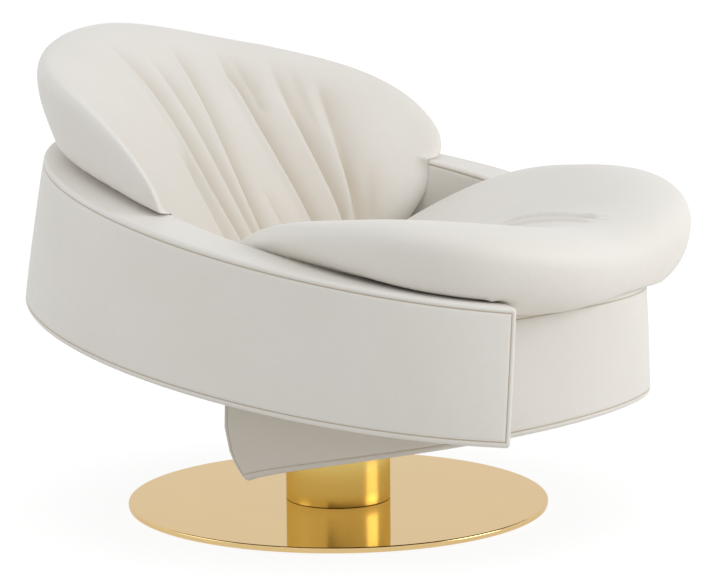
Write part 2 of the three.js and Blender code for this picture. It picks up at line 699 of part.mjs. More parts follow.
function addTurningFrame() {
  const { steel, blackPaint, bearing } = finishes;
  addPiece(tub, 'swivel_hub', swivelHub(), blackPaint);
  addPiece(tub, 'spindle', rod(spindle.radius, spindleLow, hubLow + spindle.stub, smallSteps), steel);
  const washerHigh = housingLow - bush.flangeThickness - touch;
  const washerLow = washerHigh - spindleWasher.thickness;
  const bore = spindle.radius + touch;
  const washer = tubeSolid(spindleWasher.radius, bore, washerLow, washerHigh, smallSteps);
  addPiece(tub, 'spindle_washer', washer, bearing);
  const nutHigh = washerLow - touch;
  addPiece(tub, 'spindle_nut', cut(
    rod(spindleNut.radius, nutHigh - spindleNut.thickness, nutHigh, hexSides),
    rod(bore, nutHigh - spindleNut.thickness - overrun, nutHigh + overrun, smallSteps)), steel);
  const half = plate.side / 2;
  const inner = half - plate.corner;
  const outline = new THREE.Shape();
  [[1, 1], [-1, 1], [-1, -1], [1, -1]].forEach(([x, y], i) => (
    outline.absarc(x * inner, y * inner, plate.corner, i * Math.PI / 2, (i + 1) * Math.PI / 2)));
  const sheet = flatStock(outline, plateLevel, plate.thickness);
  const holes = boltHoles(plateBolt.radius + touch, plateLevel - overrun, boardTop);
  addPiece(tubFloor, 'seat_plate', cut(sheet, ...holes), blackPaint);
  boltPlaces().forEach(([x, y], i) => {
    const headHigh = plateLevel - touch;
    const bolt = turned([
      [0, headHigh - plateBolt.headDepth], [plateBolt.headRadius, headHigh - plateBolt.headDepth],
      [plateBolt.headRadius, headHigh], [plateBolt.radius, headHigh],
      [plateBolt.radius, boardTop - touch], [0, boardTop - touch],
    ], smallSteps);
    addPiece(tubFloor, `plate_bolt_${i + 1}`, bolt, steel).position.set(x, y, 0);
  });
}

function addTub() {
  const { leather, plywood, cloth } = finishes;
  const { apronNotch, bandNotch } = boardNotches();
  addPiece(tub, 'floor_board', floorBoard(), plywood);
  const coverLow = board.rise - touch - dustCover.thickness;
  const atPadding = (angle) => apronOuter(angle) + apronDepth(angle) - board.trim;
  const cover = sheetBetween(
    boardRing(coverLow, atPadding), boardRing(board.rise - touch, atPadding));
  const coverMouth = onFloor(
    rod(dustCover.mouthRadius, coverLow - overrun, board.rise + overrun, roundSteps));
  const coverStops = [apronBody(touch), bandCoreBody(touch, -overrun)];
  addPiece(tub, 'dust_cover', cut(cover, coverMouth, ...coverStops), cloth);
  addPiece(tub, 'band_core', bandCoreBody(0, core.footInset), plywood);
  addPiece(tub, 'apron_core', apronCoreBody(), plywood);
  const bandSlot = bandCoreBody(touch, -overrun);
  addPiece(tub, 'band_upholstery', cut(bandBody(0), bandSlot, bandNotch), leather);
  addPiece(tub, 'apron_upholstery', cut(apronBody(0), apronSlot(touch), apronNotch), leather);
}

// The deck stands inside the apron, at a gap from its inner face.
const apronInner = apronInset + apron.thickness;
const railX = Math.min(bandTop.halfWidth, bandFoot.halfWidth) - apronInner - rail.sideGap;
const railFront = Math.max(rimPoint(bandTop, 0).y, rimPoint(bandFoot, 0).y) + apronInner + rail.frontGap;

// The height under the seat cushion that a piece of deck may fill.
const deckZ = (x, y) => seatUnderZ(x, y) - softTouch;
const railZ = (x, y) => deckZ(x, y) - strap.thickness - touch;

function addDeck() {
  const { plywood, webbing } = finishes;
  const steps = deckSteps;
  const between = (from, to) => Array.from({ length: steps + 1 }, (_, i) => (
    THREE.MathUtils.lerp(from, to, i / steps)));
  [['left', 1], ['right', -1]].forEach(([side, way]) => {
    const outline = [
      [rail.rear, boardZ(rail.rear)], [railFront, boardZ(railFront)],
      ...between(railFront, rail.rear).map((y) => [y, railZ(railX - rail.thickness / 2, y)]),
    ];
    addPiece(tub, `deck_rail_${side}`, uprightBoard(outline, way * railX, rail.thickness), plywood);
  });
  const crossBoard = (near, far, halfLength) => {
    const wallAt = (y) => {
      const edge = between(-halfLength, halfLength).map((x) => point(x, y, railZ(x, y)));
      return [point(halfLength, y, boardZ(y)), point(-halfLength, y, boardZ(y)), ...edge];
    };
    return loft([wallAt(near), wallAt(far)]);
  };
  const frontFar = railFront - touch;
  const frontBoard = crossBoard(frontFar - rail.thickness, frontFar, railX - rail.thickness);
  addPiece(tub, 'deck_rail_front', frontBoard, plywood);
  const rearBoard = crossBoard(rail.rear - rail.thickness, rail.rear, railX - rail.thickness * 2);
  addPiece(tub, 'deck_rail_rear', rearBoard, plywood);
  const strapHalf = railX + rail.thickness / 2;
  const firstY = railFront + strap.endInset + strap.width / 2;
  const lastY = rail.rear - rail.thickness - strap.endInset - strap.width / 2;
  for (let i = 0; i < strap.count; i++) {
    const y = THREE.MathUtils.lerp(firstY, lastY, i / (strap.count - 1));
    const rings = between(-strapHalf, strapHalf).map((x) => [-1, 1].flatMap((edge) => {
      const edgeY = y + edge * strap.width / 2;
      const high = deckZ(x, edgeY);
      const pair = [point(x, edgeY, high), point(x, edgeY, high - strap.thickness)];
      return edge < 0 ? pair : pair.toReversed();
    }));
    addPiece(tub, `webbing_strap_${i + 1}`, loft(rings), webbing);
  }
}

function addBackSupport() {
  const { plywood } = finishes;
  const front = -back.crown - softTouch;
  const rear = front - backPanel.thickness;
  const ringAt = (across) => [
    [backPanel.low, front], [backPanel.high, front], [backPanel.high, rear], [backPanel.low, rear],
  ].map(([up, out]) => backPlace(across, up, out));
  const panel = loft([ringAt(-backPanel.halfWidth), ringAt(backPanel.halfWidth)]);
  const low = toSolid(new THREE.BoxGeometry(back.halfWidth * 2, back.top * 2, back.top)
    .translate(0, 0, boardTop + touch - back.top / 2));
  const wall = bandBody(touch);
  addPiece(tub, 'back_panel', cut(panel, onFloor(low), wall), plywood);
  const under = backPlace(0, 0, rear - touch);
  const slope = backUp.z / backUp.y;
  const underZ = (y) => under.z + (y - under.y) * slope;
  const rise = Math.tan(floorTilt);
  const heelY = (boardZ(0) - under.z + under.y * slope) / (slope - rise);
  const ribRear = bandAtHeight(Math.PI, band.thickness, bandTop.z).y - backRib.rearInset;
  [['left', 1], ['middle', 0], ['right', -1]].forEach(([side, way]) => {
    const toeY = heelY + backRib.thickness;
    const outline = [
      [toeY, boardZ(toeY)], [ribRear, boardZ(ribRear)], [ribRear, underZ(ribRear)], [toeY, underZ(toeY)],
    ];
    const rib = uprightBoard(outline, way * backRib.spacing, backRib.thickness);
    addPiece(tub, `back_rib_${side}`, cut(rib, wall), plywood);
  });
}

function addCushions() {
  const { leather } = finishes;
  const keepOut = [bandBody(softTouch), apronBody(softTouch)];
  const reach = back.halfWidth * 2;
  const floor = onFloor(toSolid(new THREE.BoxGeometry(reach, reach, reach)
    .translate(0, 0, boardTop + softTouch - reach / 2)));
  const largest = (solid) => solid.decompose().reduce((a, b) => (a.volume() > b.volume() ? a : b));
  const behindSeat = backBody(softTouch * 2);
  addPiece(tub, 'back_cushion', largest(cut(backBody(0), ...keepOut, floor)), leather);
  addPiece(tub, 'seat_cushion', largest(cut(seatBody(0), ...keepOut, behindSeat, floor)), leather);
}

addBase();
addTurningFrame();
addTub();
addDeck();
addBackSupport();
addCushions();

export default chair;
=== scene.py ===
"""Pedestal swivel armchair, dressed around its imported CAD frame.

One padded ribbon winds round a dished seat cushion and a pleated back cushion. The tub
turns on a gold tube over a round gold plate. Lengths are in metres, +Z is up, -Y is the
front and +X is the sitter's left. Angles round the tub start at the front.
"""

import logging
import math
from collections.abc import Callable
from dataclasses import dataclass, field
from enum import Enum

import bpy
import numpy as np
from mathutils import Matrix, Vector

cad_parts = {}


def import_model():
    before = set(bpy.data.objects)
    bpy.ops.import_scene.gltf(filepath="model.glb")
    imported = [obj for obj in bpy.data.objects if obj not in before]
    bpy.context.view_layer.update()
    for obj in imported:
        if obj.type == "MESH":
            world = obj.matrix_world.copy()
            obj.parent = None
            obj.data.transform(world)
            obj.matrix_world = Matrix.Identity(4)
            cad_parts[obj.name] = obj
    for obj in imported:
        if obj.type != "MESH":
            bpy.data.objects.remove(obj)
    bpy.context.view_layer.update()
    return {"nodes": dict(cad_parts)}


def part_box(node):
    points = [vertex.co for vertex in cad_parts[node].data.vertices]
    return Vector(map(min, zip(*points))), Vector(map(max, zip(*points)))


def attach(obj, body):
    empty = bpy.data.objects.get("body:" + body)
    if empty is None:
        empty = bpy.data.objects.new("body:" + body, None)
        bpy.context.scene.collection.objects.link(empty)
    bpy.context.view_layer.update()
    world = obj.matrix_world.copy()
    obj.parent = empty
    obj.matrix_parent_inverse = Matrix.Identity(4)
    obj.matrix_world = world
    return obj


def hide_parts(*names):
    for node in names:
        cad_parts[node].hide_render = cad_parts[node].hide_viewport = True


log = logging.getLogger("armchair")

Array = np.ndarray
Heights = Callable[[Array], Array]
Socket = bpy.types.NodeSocket
Colour = tuple[float, ...]
Source = Socket | Colour | float
WHITE = (1.0, 1.0, 1.0, 1.0)
WAVE_SCALE = math.pi / 10  # of a wave texture whose bands are one metre wide
SEEN_RAYS = ("Is Camera Ray", "Is Glossy Ray", "Is Transmission Ray")


class Body(Enum):
    """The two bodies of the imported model."""

    BASE = "base"
    SEAT = "seat"


class Slot(Enum):
    """Material slots of the record, one given with each made piece."""

    LEATHER = "ivory_leather"
    POLISHED_GOLD = "polished_gold"
    SATIN_GOLD = "satin_gold"
    PLYWOOD = "plywood"


def as_linear(red: float, green: float, blue: float) -> tuple[float, float, float, float]:
    """Turns display values from 0 to 255 into a linear colour.

    Args:
        red: Red as displayed.
        green: Green as displayed.
        blue: Blue as displayed.

    Returns:
        The linear red, green, blue and an alpha of one.
    """
    shares = (value / 255 for value in (red, green, blue))
    linear = [s / 12.92 if s <= 0.04045 else ((s + 0.055) / 1.055) ** 2.4 for s in shares]
    return (*linear, 1.0)


def toned(colour: Colour, factor: float) -> Colour:
    """Gives a colour times a factor, with an alpha of one."""
    return tuple(factor * c for c in colour[:3]) + (1.0,)


# Finishes


class Nodes:
    """Builds a shader's node tree, one node at a time."""

    def __init__(self, tree: bpy.types.NodeTree) -> None:
        """Takes the tree that the nodes go in."""
        self.tree = tree

    def join(self, source: Source, target: Socket) -> None:
        """Links a socket to another, or sets a plain value.

        Args:
            source: An output socket, a colour or a number.
            target: The input socket.
        """
        if isinstance(source, bpy.types.NodeSocket):
            self.tree.links.new(source, target)
        else:
            target.default_value = source

    def add(self, kind: str, inputs: dict[str | int, Source], **settings: str) -> bpy.types.Node:
        """Adds a node.

        Args:
            kind: Its type.
            inputs: What goes in, by the name or number of the socket.
            settings: Its own settings by name.

        Returns:
            The node.
        """
        node = self.tree.nodes.new(kind)
        for name, value in settings.items():
            setattr(node, name, value)
        for name, source in inputs.items():
            self.join(source, node.inputs[name])
        return node

    def seen(self) -> Socket:
        """Gives one for camera, glossy and transmission rays, and zero for all others.

        Returns:
            The joined output.
        """
        path = self.add("ShaderNodeLightPath", {})
        found = path.outputs[SEEN_RAYS[0]]
        for ray in SEEN_RAYS[1:]:
            inputs = {0: found, 1: path.outputs[ray]}
            found = self.add("ShaderNodeMath", inputs, operation="MAXIMUM").outputs[0]
        return found


class Painter(Nodes):
    """Builds the node tree of one material on its principled shader."""

    def __init__(self, name: str) -> None:
        """Starts a material with its shader.

        Args:
            name: The material's name.
        """
        self.material = bpy.data.materials.new(name)
        self.material.use_nodes = True
        super().__init__(self.material.node_tree)
        self.shader = self.tree.nodes["Principled BSDF"]
        self.places = self.add("ShaderNodeTexCoord", {}).outputs["Object"]

    def stretched(self, scale: tuple[float, float, float]) -> Socket:
        """Gives the object's coordinates times factors along X, Y and Z."""
        inputs = {"Scale": scale, "Vector": self.places}
        return self.add("ShaderNodeMapping", inputs).outputs["Vector"]

    def noise(self, size: float, detail: float, places: Socket | None = None) -> Socket:
        """Adds soft noise from 0 to 1, with its largest spots in metres and octaves of finer ones."""
        inputs = {"Scale": 1 / size, "Detail": detail, "Vector": places or self.places}
        return self.add("ShaderNodeTexNoise", inputs).outputs["Fac"]

    def cells(self, size: float, smoothness: float) -> Socket:
        """Adds rounded cells of a width in metres, whose neighbours blend by a share."""
        inputs = {"Scale": 1 / size, "Smoothness": smoothness, "Vector": self.places}
        return self.add("ShaderNodeTexVoronoi", inputs, feature="SMOOTH_F1").outputs["Distance"]

    def waves(self, size: float, axis: str) -> Socket:
        """Adds straight bands from 0 to 1 across the X, Y or Z axis, of a width in metres."""
        inputs = {"Scale": WAVE_SCALE / size, "Vector": self.places}
        return self.add("ShaderNodeTexWave", inputs, bands_direction=axis).outputs["Fac"]

    def ranged(self, source: Socket, low: float, high: float,
               start: float = 0.0, end: float = 1.0) -> Socket:
        """Maps the span of a value from start to end onto the span from low to high."""
        inputs = {"From Min": start, "From Max": end, "To Min": low, "To Max": high, "Value": source}
        return self.add("ShaderNodeMapRange", inputs).outputs["Result"]

    def mixed(self, factor: Socket, first: Socket | Colour, second: Socket | Colour) -> Socket:
        """Mixes two colours.

        Args:
            factor: The share of the second colour.
            first: The first colour.
            second: The second colour.

        Returns:
            The mixed colour.
        """
        node = self.add("ShaderNodeMix", {"Factor": factor}, data_type="RGBA")
        sockets = [socket for socket in node.inputs if socket.type == "RGBA"]
        for socket, colour in zip(sockets, (first, second)):
            self.join(colour, socket)
        return next(socket for socket in node.outputs if socket.type == "RGBA")

    def drawn(self, name: str) -> Socket:
        """Reads a value that the mesh code drew on the piece, by its attribute's name."""
        return self.add("ShaderNodeAttribute", {}, attribute_name=name).outputs["Fac"]

    def bump(self, *layers: tuple[Socket, float]) -> None:
        """Stacks bump layers on the shader.

        Args:
            layers: Pairs of a height from 0 to 1 and its depth in metres, from the lowest up.
        """
        below: dict[str, Socket] = {}
        for height, depth in layers:
            node = self.add("ShaderNodeBump", {"Distance": depth, "Height": height, **below})
            below = {"Normal": node.outputs["Normal"]}
        self.join(below["Normal"], self.shader.inputs["Normal"])

    def surface(self, colour: Socket, roughness: Source, metallic: float = 0.0,
                **plain: float | Colour) -> bpy.types.Material:
        """Sets the shader's main sockets.

        Args:
            colour: Base colour.
            roughness: Roughness.
            metallic: One for metal.
            plain: Other sockets by name, with spaces as underscores.

        Returns:
            The finished material.
        """
        sources = {"Base_Color": colour, "Roughness": roughness, "Metallic": metallic, **plain}
        for name, source in sources.items():
            self.join(source, self.shader.inputs[name.replace("_", " ")])
        return self.material


@dataclass(frozen=True)
class IvoryLeather:
    """Smooth full-grain leather: fine pebbles, soft mottling, a darker sewn seam and painted shade in
    the seam's colour.
    """

    pale: Colour = as_linear(237, 233, 227)
    warm: Colour = as_linear(233, 229, 221)
    # seam colour, which is also the colour of the painted shade in pleats, creases, the back's foot
    # and the apron's wedge
    seam: Colour = as_linear(184, 168, 144)
    cloud: float = 0.16
    mottle: float = 0.011
    pebble: float = 0.0013
    pebble_blend: float = 0.6
    mottle_depth: float = 0.0003
    pebble_depth: float = 0.00006
    pore_depth: float = 0.00002
    spots: tuple[float, float] = (0.35, 0.75)
    most_spots: float = 0.35
    roughness: tuple[float, float] = (0.42, 0.58)

    def make(self, name: str) -> bpy.types.Material:
        """Builds the leather.

        Args:
            name: The material's name.

        Returns:
            The material.
        """
        paint = Painter(name)
        cloud = paint.noise(self.cloud, 3.0)
        mottle = paint.noise(self.mottle, 4.0)
        body = paint.mixed(paint.ranged(cloud, 0, 1, 0.3, 0.7), self.pale, self.warm)
        spots = paint.ranged(mottle, 0, self.most_spots, *self.spots)
        spotted = paint.mixed(spots, body, self.warm)
        # the drawn share mixes in the seam colour: real sewn seams and painted shade
        seamed_and_shaded = paint.mixed(paint.drawn("seam"), spotted, self.seam)
        paint.bump(
            (mottle, self.mottle_depth),
            (paint.cells(self.pebble, self.pebble_blend), self.pebble_depth),
            (paint.noise(self.pebble / 3, 2.0), self.pore_depth))
        return paint.surface(
            seamed_and_shaded, paint.ranged(mottle, *self.roughness), Specular_IOR_Level=0.4,
            Sheen_Weight=0.12, Sheen_Roughness=0.5)


@dataclass(frozen=True)
class GoldPlate:
    """Gold plating, from mirror polish to satin."""

    colour: Colour
    roughness: float
    smear: float
    edge_tint: Colour
    cloud: float = 0.12
    deeper: float = 0.94

    def make(self, name: str) -> bpy.types.Material:
        """Builds the plating.

        Args:
            name: The material's name.

        Returns:
            The material.
        """
        paint = Painter(name)
        cloud = paint.noise(self.cloud, 4.0)
        rough = paint.ranged(cloud, self.roughness, self.roughness + self.smear, 0.3, 0.8)
        colour = paint.mixed(cloud, self.colour, toned(self.colour, self.deeper))
        return paint.surface(colour, rough, 1.0, Specular_Tint=self.edge_tint)


@dataclass(frozen=True)
class ZincSteel:
    """Zinc plated steel with faint spangle."""

    colour: Colour = as_linear(176, 179, 182)
    spangle: float = 0.006
    spangle_blend: float = 0.2
    duller: float = 0.75
    grain: float = 0.0015
    grain_depth: float = 0.00003

    def make(self, name: str) -> bpy.types.Material:
        """Builds the steel.

        Args:
            name: The material's name.

        Returns:
            The material.
        """
        paint = Painter(name)
        spangle = paint.cells(self.spangle, self.spangle_blend)
        paint.bump((paint.noise(self.grain, 3.0), self.grain_depth))
        colour = paint.mixed(spangle, self.colour, toned(self.colour, self.duller))
        return paint.surface(colour, paint.ranged(spangle, 0.3, 0.5), 0.95)


@dataclass(frozen=True)
class PowderCoat:
    """Black powder coat with orange peel."""

    colour: Colour = as_linear(42, 42, 44)
    cloud: float = 0.05
    worn: float = 1.5
    peel: float = 0.0018
    peel_depth: float = 0.00012

    def make(self, name: str) -> bpy.types.Material:
        """Builds the coat.

        Args:
            name: The material's name.

        Returns:
            The material.
        """
        paint = Painter(name)
        peel = paint.noise(self.peel, 2.0)
        paint.bump((peel, self.peel_depth))
        colour = paint.mixed(
            paint.noise(self.cloud, 3.0), self.colour, toned(self.colour, self.worn))
        return paint.surface(colour, paint.ranged(peel, 0.42, 0.6))


@dataclass(frozen=True)
class Plywood:
    """Birch plywood: long grain over thin layers."""

    pale: Colour = as_linear(214, 184, 142)
    dark: Colour = as_linear(176, 138, 94)
    layer: float = 0.0015
    layer_tone: float = 0.25
    grain: float = 0.004
    grain_stretch: tuple[float, float, float] = (0.08, 1.0, 1.0)
    grain_depth: float = 0.0002

    def make(self, name: str) -> bpy.types.Material:
        """Builds the plywood.

        Args:
            name: The material's name.

        Returns:
            The material.
        """
        paint = Painter(name)
        grain = paint.noise(self.grain, 5.0, paint.stretched(self.grain_stretch))
        layers = paint.waves(self.layer, "Z")
        wood = paint.mixed(paint.ranged(grain, 0, 1, 0.3, 0.7), self.pale, self.dark)
        striped = paint.mixed(paint.ranged(layers, 0, self.layer_tone), wood, self.dark)
        paint.bump((grain, self.grain_depth))
        return paint.surface(striped, paint.ranged(grain, 0.55, 0.8))


@dataclass(frozen=True)
class Woven:
    """Woven or felted cloth, from webbing to felt."""

    pale: Colour
    dark: Colour
    yarn: float
    woven: bool = True

    def make(self, name: str) -> bpy.types.Material:
        """Builds the cloth.

        Args:
            name: The material's name.

        Returns:
            The material.
        """
        paint = Painter(name)
        fuzz = paint.noise(self.yarn * 2, 5.0)
        if self.woven:
            warp, weft = paint.waves(self.yarn, "X"), paint.waves(self.yarn, "Y")
            body = paint.mixed(warp, self.dark, self.pale)
            cloth = paint.mixed(paint.ranged(weft, 0, 0.5), body, self.dark)
            paint.bump((warp, self.yarn / 6), (weft, self.yarn / 6), (fuzz, self.yarn / 10))
        else:
            cloth = paint.mixed(fuzz, self.dark, self.pale)
            paint.bump((fuzz, self.yarn / 3))
        return paint.surface(cloth, 0.95, Sheen_Weight=0.2)


@dataclass(frozen=True)
class Acetal:
    """Natural acetal, slightly waxy."""

    colour: Colour = as_linear(232, 228, 214)
    swirl: float = 0.01
    darker: float = 0.9
    grain: float = 0.0008
    grain_depth: float = 0.00002

    def make(self, name: str) -> bpy.types.Material:
        """Builds the plastic.

        Args:
            name: The material's name.

        Returns:
            The material.
        """
        paint = Painter(name)
        swirl = paint.noise(self.swirl, 3.0)
        paint.bump((paint.noise(self.grain, 2.0), self.grain_depth))
        colour = paint.mixed(swirl, self.colour, toned(self.colour, self.darker))
        return paint.surface(colour, paint.ranged(swirl, 0.35, 0.5), Coat_Weight=0.1)


# Meshes


def make_piece(name: str, points: Array, faces: list[list[int]], body: Body, slot: Slot,
               material: bpy.types.Material, seam: Array | None = None) -> bpy.types.Object:
    """Makes a smooth shaded piece and puts it on its body.

    Args:
        name: The piece's name.
        points: Its points, one row each.
        faces: Its faces, as point numbers.
        body: The CAD body that it rides on.
        slot: The record's material slot; not used.
        material: Its material.
        seam: How much of each point is sewn seam or painted shade, from 0 to 1.

    Returns:
        The piece.
    """
    mesh = bpy.data.meshes.new(name)
    mesh.from_pydata(points.tolist(), [], faces)
    mesh.validate()
    mesh.shade_smooth()
    mesh.materials.append(material)
    # the drawn attribute holds sewn seams and painted shade alike
    drawn = mesh.attributes.new("seam", "FLOAT", "POINT")
    drawn.data.foreach_set("value", np.zeros(len(points)) if seam is None else seam)
    piece = bpy.data.objects.new(name, mesh)
    bpy.context.scene.collection.objects.link(piece)
    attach(piece, body.value)
    return piece


@dataclass
class Upholstery:
    """Leather pieces that stand for CAD nodes, whose nodes are hidden."""

    leather: bpy.types.Material

    def covered(self, name: str, points: Array, faces: list[list[int]], node: str,
                fill: float, shade: Array) -> bpy.types.Object:
        """Makes one leather piece.

        Args:
            name: The piece's name.
            points: Its points.
            faces: Its faces.
            node: The CAD node that it stands for.
            fill: How tightly it is filled, from 0 to 1; not used.
            shade: How much of each point is seam or painted shade, from 0 to 1.

        Returns:
            The piece.
        """
        piece = make_piece(name, points, faces, Body.SEAT, Slot.LEATHER, self.leather, shade)
        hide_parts(node)
        return piece


def turned(profile: list[tuple[float, float]], steps: int) -> tuple[Array, list[list[int]]]:
    """Revolves an outline about +Z; ends on the axis become single points.

    Args:
        profile: Pairs of radius and height, along the outline.
        steps: Facets round the axis.

    Returns:
        The points and faces.
    """
    turns = np.linspace(0, 2 * math.pi, steps, endpoint=False)
    points: list[list[float]] = []
    rows: list[list[int]] = []
    for radius, height in profile:
        first = len(points)
        if radius == 0:
            points.append([0, 0, height])
            rows.append([first] * steps)
        else:
            points += [[radius * math.cos(t), radius * math.sin(t), height] for t in turns]
            rows.append(list(range(first, first + steps)))
    faces = []
    for low, high in zip(rows, rows[1:]):
        for i in range(steps):
            j = (i + 1) % steps
            quad = list(dict.fromkeys([low[i], low[j], high[j], high[i]]))
            if len(quad) > 2:
                faces.append(quad)
    return np.array(points), faces


def arc(centre: tuple[float, float], radius: float, start: float, end: float,
        steps: int = 6) -> list[tuple[float, float]]:
    """Gives points along an arc round a centre, from one angle in degrees to another."""
    turns = np.radians(np.linspace(start, end, steps + 1))
    return [(centre[0] + radius * math.cos(t), centre[1] + radius * math.sin(t)) for t in turns]


def ramp(value: Array, start: float, end: float) -> Array:
    """Gives a smooth step from 0 at start to 1 at end."""
    share = np.clip((value - start) / (end - start), 0, 1)
    return share * share * (3 - 2 * share)


# Walls of the tub


@dataclass(frozen=True)
class Rim:
    """A tilted oval rim of the tub."""

    half_width: float
    half_depth: float
    y: float
    z: float
    tilt: float

    def at(self, angle: Array) -> Array:
        """Gives the rim's points at some angles.

        Args:
            angle: Angles in radians.

        Returns:
            The points.
        """
        reach = self.half_depth * np.cos(angle)
        tilt = math.radians(self.tilt)
        return np.stack([
            self.half_width * np.sin(angle),
            self.y - reach * math.cos(tilt),
            self.z - reach * math.sin(tilt)], -1)


@dataclass(frozen=True)
class Wall:
    """The ruled wall between the tub's foot rim and its top rim."""

    top: Rim = Rim(0.439, 0.476, -0.061, 0.433, 11.3)
    foot: Rim = Rim(0.444, 0.502, -0.048, 0.239, 8.8)
    table_size: int = 1441

    def inward(self, angle: Array) -> Array:
        """Gives the level direction into the tub.

        Args:
            angle: Angles in radians.

        Returns:
            Unit directions.
        """
        width = self.top.half_width + self.foot.half_width
        depth = self.top.half_depth + self.foot.half_depth
        way = np.stack([-np.sin(angle) / width, np.cos(angle) / depth, 0 * angle], -1)
        return way / np.linalg.norm(way, axis=-1, keepdims=True)

    def at(self, angle: Array, inset: Array, share: Array) -> Array:
        """Gives points at angles, insets from the outer face and shares up from the foot rim."""
        foot, top = self.foot.at(angle), self.top.at(angle)
        return foot + (top - foot) * share[..., None] + self.inward(angle) * inset[..., None]

    def height(self, angle: Array) -> Array:
        """Gives the wall's slant height at some angles."""
        return np.linalg.norm(self.top.at(angle) - self.foot.at(angle), axis=-1)

    def share_at(self, angle: Array, z: Array) -> Array:
        """Gives the share up the wall of some heights over the floor."""
        low, high = self.foot.at(angle)[..., 2], self.top.at(angle)[..., 2]
        return (z - low) / (high - low)

    def span(self, angle: float, distance: float) -> float:
        """Gives the angle that a distance along the foot spans, near an angle."""
        return distance / math.hypot(
            self.foot.half_width * math.cos(angle), self.foot.half_depth * math.sin(angle))

    def by_length(self, start: float, end: float) -> tuple[float, Array, Array]:
        """Measures the foot rim between two angles.

        Args:
            start: First angle.
            end: Last angle.

        Returns:
            The length, and a table of angles with the length up to each.
        """
        angles = np.linspace(start, end, self.table_size)
        steps = np.linalg.norm(np.diff(self.foot.at(angles), axis=0), axis=-1)
        lengths = np.concatenate([[0], np.cumsum(steps)])
        return float(lengths[-1]), angles, lengths


@dataclass(frozen=True)
class PaddedSlab:
    """A padded board under leather: rounded edges, a sewn seam inside them and soft faces."""

    corner: float = 0.006
    seam_inset: float = 0.0078
    seam_half_width: float = 0.0011
    seam_depth: float = 0.0011
    puff: float = 0.0012
    puff_reach: float = 0.03
    corner_turns: tuple[float, ...] = (45, 33, 22, 11)
    seam_places: tuple[float, ...] = (-0.9, -0.45, 0, 0.45, 0.9, 1.6)
    face_places: tuple[float, ...] = (0.013, 0.018, 0.026, 0.038)
    thickness_checks: int = 60
    middle_gap: float = 0.002

    def edge_places(self) -> list[float]:
        """Gives the sample distances from an edge: round its corner, over its seam and beyond.

        Returns:
            The distances, smallest first.
        """
        corner = [self.corner * (1 - math.tan(math.radians(t))) for t in self.corner_turns]
        seam = [self.seam_inset + k * self.seam_half_width for k in self.seam_places]
        return corner + seam + list(self.face_places)

    def samples(self, middle: int) -> tuple[Array, Array]:
        """Gives sample places along a side of any length, as offset + factor * length.

        Args:
            middle: Spans between the two edges' samples.

        Returns:
            The offsets and the factors.
        """
        edge = np.array(self.edge_places())
        shares = np.arange(1, middle) / middle
        last = edge[-1]
        offsets = np.concatenate([edge, last * (1 - 2 * shares), -edge[::-1]])
        factors = np.concatenate([0 * edge, shares, 0 * edge + 1])
        return offsets, factors

    def skin(self, length: float, depth: Heights, height: Heights, middles: tuple[int, int, int],
             butt: float) -> tuple[Array, list[list[int]], Array]:
        """Builds the slab's skin in its own flat space.

        Args:
            length: Its length along the wall.
            depth: Gives its thickness at places along it.
            height: Gives its height at places along it.
            middles: Spans along, across and up, between the edges' samples.
            butt: The place along it whose end is plain and joins another length.

        Returns:
            Points as (along, inset, up), faces, and each point's share of seam.
        """
        (s_off, s_fac), (t_off, t_fac), (h_off, h_fac) = (self.samples(n) for n in middles)
        thin = depth(np.linspace(0, length, self.thickness_checks)).min()
        if 2 * self.edge_places()[-1] > thin:
            keep = [d for d in self.edge_places() if d < thin / 2 - self.middle_gap]
            t_off = np.concatenate([keep, [-d for d in keep[::-1]]])
            t_fac = np.concatenate([np.zeros(len(keep)), np.ones(len(keep))])
        shape = (len(s_off), len(t_off), len(h_off))
        lattice = np.indices(shape)
        extreme = [(lattice[a] == 0) | (lattice[a] == shape[a] - 1) for a in range(3)]
        shown = extreme[0] | extreme[1] | extreme[2]
        ids = -np.ones(shape, int)
        ids[shown] = np.arange(shown.sum())
        i, j, k = (lattice[a][shown] for a in range(3))
        along = s_off[i] + s_fac[i] * length
        deep, tall = depth(along), height(along)
        extent = np.stack([np.full_like(along, length), deep, tall], -1)
        place = np.stack([along, t_off[j] + t_fac[j] * deep, h_off[k] + h_fac[k] * tall], -1)
        near = np.minimum(place, extent - place)
        near[:, 0] = length - np.abs(place[:, 0] - butt)
        order = np.sort(near, axis=-1)
        edge = order[:, 1]
        inner = np.clip(place, self.corner, extent - self.corner)
        close = np.abs(place[:, 0] - butt) < length / 2
        inner[close, 0] = place[close, 0]
        away = place - inner
        away /= np.maximum(np.linalg.norm(away, axis=-1, keepdims=True), 1e-9)
        on_face = extreme[1][shown]
        groove = np.exp(-((edge - self.seam_inset) / self.seam_half_width) ** 2) * on_face
        soft = self.puff * (1 - np.exp(-np.maximum(edge - self.seam_inset, 0) / self.puff_reach))
        soft = np.where(extreme[0][shown], 0, soft)
        place = inner + away * (self.corner + soft - self.seam_depth * groove)[:, None]
        return place, lattice_faces(ids), groove ** 2


def lattice_faces(ids: Array) -> list[list[int]]:
    """Gives the outward quads of a block's six sides.

    Args:
        ids: Point numbers over a three-way lattice.

    Returns:
        The faces.
    """
    sides = []
    for axis in range(3):
        for end, flip in ((0, True), (-1, False)):
            grid = np.take(ids, end, axis=axis)
            sides.append((grid, flip != (axis == 1)))
    faces = []
    for grid, flip in sides:
        quads = np.stack([grid[:-1, :-1], grid[1:, :-1], grid[1:, 1:], grid[:-1, 1:]], -1)
        if flip:
            quads = quads[..., ::-1]
        faces += quads.reshape(-1, 4).tolist()
    return faces


